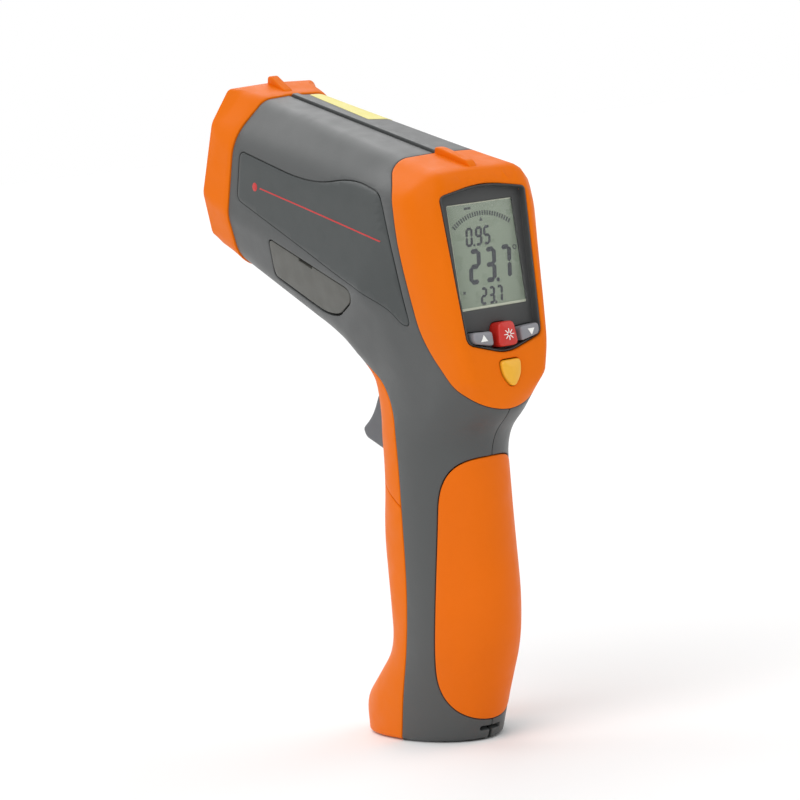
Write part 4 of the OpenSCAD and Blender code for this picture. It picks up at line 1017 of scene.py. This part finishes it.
# Trigger.
TRIGGER_CORNERS = [
    (58, 114, 4), (62.4, 112, 3), (66.4, 104.6, 4), (69.6, 95, 5), (75.4, 88.4, 1.6), (73, 85.6, 1.4),
    (60, 84.4, 2), (54.8, 84.4, 1.5), (54.6, 95, 0.6), (57.4, 95.4, 0.6), (57.4, 103, 0.6), (54.3, 103.6, 1),
    (48.5, 112, 6), (47.4, 122, 3), (49.5, 126.2, 2), (53.5, 126.2, 2), (55.6, 122, 3)]
BLADE_HALF, BLADE_ROUND = 5.5, 1.3
dress(side_slab("trigger_blade", TRIGGER_CORNERS, BLADE_HALF, BLADE_ROUND, TRIGGER, "trigger"),
      "dark_plastic", "trigger")

# Flap over the sockets, with its finger notch and round lower edge, and the tray behind it.
NOTCH_ENDS, NOTCH_H = (2.2, -6.2), 1.0
xa, xb = NOTCH_ENDS
ya, yb = np.interp(NOTCH_ENDS, (FLAP[5][0], FLAP[4][0]), (FLAP[5][1], FLAP[4][1]))
notch = [(xa, ya, 0.3), (xa, ya - NOTCH_H, 0.4), (xb, yb - NOTCH_H, 0.4), (xb, yb, 0.3)]
flap_pts = outline(FLAP[:5] + notch + FLAP[5:], 8, 0.5)
flap_round = 0.3 + 0.6 * np.clip((-2 - flap_pts[:, 1]) / 3, 0, 1)
dress(patch("socket_flap", SKIN, [on_bevel(flap_pts)], DOOR, FLAP_T, radius=[flap_round], body="socket_door",
            gap=0.02, step=1.2), "grey_shell", "socket_door")
TRAY_GROW, TRAY_SINK, TRAY_DEPTH, TRAY_FLOOR = 1.6, 2.45, 3.4, 1.3
tray_loop = on_bevel(outline(grown(FLAP, [TRAY_GROW] * len(FLAP)), 8, 0.8))
MOUTHS = [box_about(DOOR_Y + 13, 142, 8.1, 4.3, 1.2), box_about(DOOR_Y - 6, 140, 17.4, 8.8, 1.0)]
mouths = [side_loop(corners, 6, 0.4) for corners in MOUTHS]
tray_step = [(0.7, 0.0), (0.8, 0.2), (0.95, TRAY_DEPTH)]
dress(patch("socket_tray", SKIN, [tray_loop] + mouths, GREY, TRAY_DEPTH + TRAY_FLOOR, radius=0.3,
            lift=-TRAY_SINK, step=1.6, steps=[(tray_loop, tray_step)]), "grey_shell")


# Marks: display segments, key signs, the film on the top, and the label's line and spot.
def prisms(name, outlines, low, high, mat, body="housing"):
    """Flat raised figures on the face, each a closed prism over its outline."""
    verts, faces = [], []
    for o in outlines:
        o = turning_left(FACE_PLANE, np.array(o, float))
        k, at = len(o), len(verts)
        for z in (low, high):
            verts.extend(FACE_PLANE.at(o) + z * FACE_PLANE.n)
        faces.append(tuple(at + i for i in range(k - 1, -1, -1)))
        faces.append(tuple(at + k + i for i in range(k)))
        faces.extend((at + i, at + (i + 1) % k, at + k + (i + 1) % k, at + k + i) for i in range(k))
    return mesh_object(name, np.array(verts), faces, mat, body)


def on_lcd(u, v):
    """A place on the display from shares of its width, from the left, and of its height, from the top."""
    return LCD_W * u - LCD_X, LCD_TOP - LCD_L * v


# Lit segments of each figure: a top, b and c right, d bottom, e and f left, g middle.
LIT = {"0": "abcdef", "2": "abged", "3": "abgcd", "5": "afgcd", "7": "abc", "9": "abcdfg"}
LEAN, SEGMENT_POINT, SEGMENT_GAP = 0.14, 0.36, 0.04
SEGMENT_LOW, SEGMENT_TOP = -LCD_DEPTH - 0.1, 0.05 - LCD_DEPTH


def digit(sign, u, v, w, h, t):
    """Segments of one figure about a place on the display: w wide, h high and strokes t broad."""
    cx, cv = on_lcd(u, v)
    x, y, gap = (w - t) / 2, (h - t) / 2, t * SEGMENT_GAP
    ends = {"a": ((-x, y), (x, y)), "g": ((-x, 0), (x, 0)), "d": ((-x, -y), (x, -y)), "f": ((-x, 0), (-x, y)),
            "b": ((x, 0), (x, y)), "e": ((-x, -y), (-x, 0)), "c": ((x, -y), (x, 0))}
    out = []
    for name in LIT[sign]:
        p, r = (np.array(v, float) for v in ends[name])
        d = (r - p) / np.linalg.norm(r - p)
        n = np.array([-d[1], d[0]]) * t / 2
        p, r = p + d * gap, r - d * gap
        c = d * t * SEGMENT_POINT
        pts = [p, p + c - n, r - c - n, r, r - c + n, p + c + n]
        out.append([(cx + a + LEAN * b, cv + b) for a, b in pts])
    return out


def dot(u, v, r):
    return on_lcd(u, v) + r * CIRCLE[::4]


# Figures, their places across, and the place down, width, height and stroke of their row.
ROWS = (("095", (0.285, 0.43, 0.555), 0.32, 2.8, 6.2, 0.88),
        ("237", (0.305, 0.54, 0.775), 0.6, 4.7, 11.4, 1.55),
        ("237", (0.375, 0.495, 0.615), 0.885, 2.6, 5.7, 0.88))
figures = []
for signs, places, *form in ROWS:
    for sign, u in zip(signs, places):
        figures += digit(sign, u, *form)
figures += [dot(0.345, 0.4, 0.42), dot(0.625, 0.752, 0.7), dot(0.545, 0.957, 0.42)]
EIGHT_WAYS = CIRCLE[::5]
for a, b in zip(EIGHT_WAYS, np.roll(EIGHT_WAYS, -1, 0)):
    figures.append(on_lcd(0.945, 0.47) + np.stack([0.55 * a, 0.85 * a, 0.85 * b, 0.55 * b]))
dress(prisms("lcd_figures", figures, SEGMENT_LOW, SEGMENT_TOP, DIGIT), "dark_plastic")
SCALE_R, SCALE_SPAN, SCALE_TICKS, TICK_L, TICK_HALF = 18.5, 38.0, 25, 1.5, 0.3
cx, cv = on_lcd(0.5, 0.085)
ticks = []
for i in range(SCALE_TICKS):
    a = math.radians(SCALE_SPAN * (2 * i / (SCALE_TICKS - 1) - 1))
    d, n = np.array([math.sin(a), math.cos(a)]), np.array([math.cos(a), -math.sin(a)]) * TICK_HALF
    near = np.array([cx, cv - SCALE_R]) + d * (SCALE_R - TICK_L)
    far = near + d * TICK_L
    ticks.append([near - n, far - n, far + n, near + n])
px, pv = on_lcd(0.5, 0.165)
ticks.append([(px - 0.7, pv - 0.6), (px + 0.7, pv - 0.6), (px, pv + 0.8)])
ticks += [box_about(*on_lcd(0.32, 0.05), 2.6, 0.8), box_about(*on_lcd(0.09, 0.83), 1.0, 1.0)]
dress(prisms("lcd_scale", ticks, SEGMENT_LOW, SEGMENT_TOP, FAINT), "dark_plastic")
EDGE_W = 0.45
bars = ((-LCD_X, LCD_X, LCD_TOP - EDGE_W, LCD_TOP), (-LCD_X, LCD_X, LCD_LOW, LCD_LOW + 2 * EDGE_W),
        (-LCD_X, -LCD_X + EDGE_W, LCD_LOW, LCD_TOP))
frame_bars = [box(x0 + 0.05, x1 - 0.05, v0 + 0.05, v1 - 0.05) for x0, x1, v0, v1 in bars]
dress(prisms("lcd_edges", frame_bars, SEGMENT_LOW, 0.1 - LCD_DEPTH, EDGE_PALE), "lcd")


def arrow(side):
    x, v = side * (KEY_U + 0.1), KEY_V + 0.2
    return [(x - 1.3, v + side * 0.9), (x + 1.3, v + side * 0.9), (x, v - side * 1.2)]


for way, side in (("up", -1), ("down", 1)):
    dress(prisms(f"{way}_arrow", [arrow(side)], 0.4, 1.17, MARK, f"{way}_key"), "key_grey")
rays = []
mid = np.array([0.0, KEY_V + 0.4])
for d in EIGHT_WAYS:
    n = np.array([-d[1], d[0]]) * 0.17
    rays.append([mid + d * 0.5 - n, mid + d * 1.9 - n * 0.6, mid + d * 1.9 + n * 0.6, mid + d * 0.5 + n])
dress(prisms("laser_sign", rays, 0.9, 1.92, MARK, "laser_key"), "key_red")

film_pts = outline([(5.8, 132.8, 0.6), (4.5, 93.4, 0.6), (13.5, 91.7, 0.6), (11.6, 132.8, 0.6)], 4, 0.8)
film = np.array([(PIVOT[0] - y, u_of_across(PIVOT[0] - y, x)) for x, y in film_pts])
dress(patch("top_film", SKIN, [film], STICKER, 0.14, radius=0.05, lift=0.12, step=2.0, arcs=2), "lcd")
stripe = side_loop([(115, 166.4, 0), (115, 166.9, 0), (40, 167.3, 0), (40, 166.8, 0)], 2, 1.0)
SPOT_Y, SPOT_Z, SPOT_R = 118, 166.4, 1.5
spot = side_loop([(SPOT_Y + SPOT_R * c, SPOT_Z + SPOT_R * d, 0) for c, d in CIRCLE], 2, 0.3)
for name, loop in (("label_stripe", stripe), ("label_spot", spot)):
    dress(patch(name, SKIN, [loop], LINE, 0.12, radius=0.03, lift=0.04, step=3.0, arcs=2), "key_red")

# Stage: white floor, soft light and the camera.
CAMERA_AT = (-0.5569, -0.8428, 0.2102)
HEADING, FALL, ROLL = math.radians(33.036), math.radians(5.310), math.radians(-6.956)
LENS_MM = 135.03
SKY = 0.42
FLOOR = 60.0
SUNS = (("key", (-1.6, -0.6, 1.5), 1.4), ("fill", (1.4, -1.1, 1.2), 0.7), ("back", (0.2, 1.5, 1.6), 1.3))
SUN_WIDTH = math.radians(60)


def stage():
    white = bpy.data.materials.new("floor_white")
    white.use_nodes = True
    fill(white.node_tree.nodes["Principled BSDF"], Base_Color=(0.95, 0.95, 0.95, 1), Roughness=0.95,
         Specular_IOR_Level=0.0)
    me = bpy.data.meshes.new("floor")
    me.from_pydata(box_about(0, 0, FLOOR, FLOOR, 0), [], [(0, 1, 2, 3)])
    me.materials.append(white)
    floor = added("floor", me)
    world = bpy.data.worlds.new("studio")
    world.use_nodes = True
    tree = world.node_tree
    link = tree.links.new
    sky = fill(tree.nodes["Background"], Color=(1, 1, 1, 1), Strength=SKY)
    seen = new_node(tree, "Background", Color=(1, 1, 1, 1))
    path = new_node(tree, "LightPath")
    mix = new_node(tree, "MixShader")
    either = new_node(tree, "Math")
    either.operation = "MAXIMUM"
    link(path.outputs["Is Camera Ray"], either.inputs[0])
    link(path.outputs["Is Glossy Ray"], either.inputs[1])
    link(either.outputs["Value"], mix.inputs["Fac"])
    link(sky.outputs["Background"], mix.inputs[1])
    link(seen.outputs["Background"], mix.inputs[2])
    link(mix.outputs["Shader"], tree.nodes["World Output"].inputs["Surface"])
    scene.world = world
    for name, at, power in SUNS:
        lamp = bpy.data.lights.new(name, "SUN")
        lamp.angle = SUN_WIDTH
        lamp.energy = power
        ob = added(name, lamp)
        ob.location = at
        ob.rotation_euler = (-Vector(at)).to_track_quat("-Z", "Y").to_euler()
    cam = bpy.data.cameras.new("camera")
    cam.lens = LENS_MM
    cam.sensor_width = 36
    cam.clip_start, cam.clip_end = 0.05, 100
    ob = added("camera", cam)
    aim = Matrix.Rotation(-HEADING, 4, "Z") @ Matrix.Rotation(math.pi / 2 - FALL, 4, "X")
    ob.matrix_world = Matrix.Translation(CAMERA_AT) @ aim @ Matrix.Rotation(ROLL, 4, "Z")
    scene.camera = ob
    scene.view_settings.view_transform = "Standard"


stage()
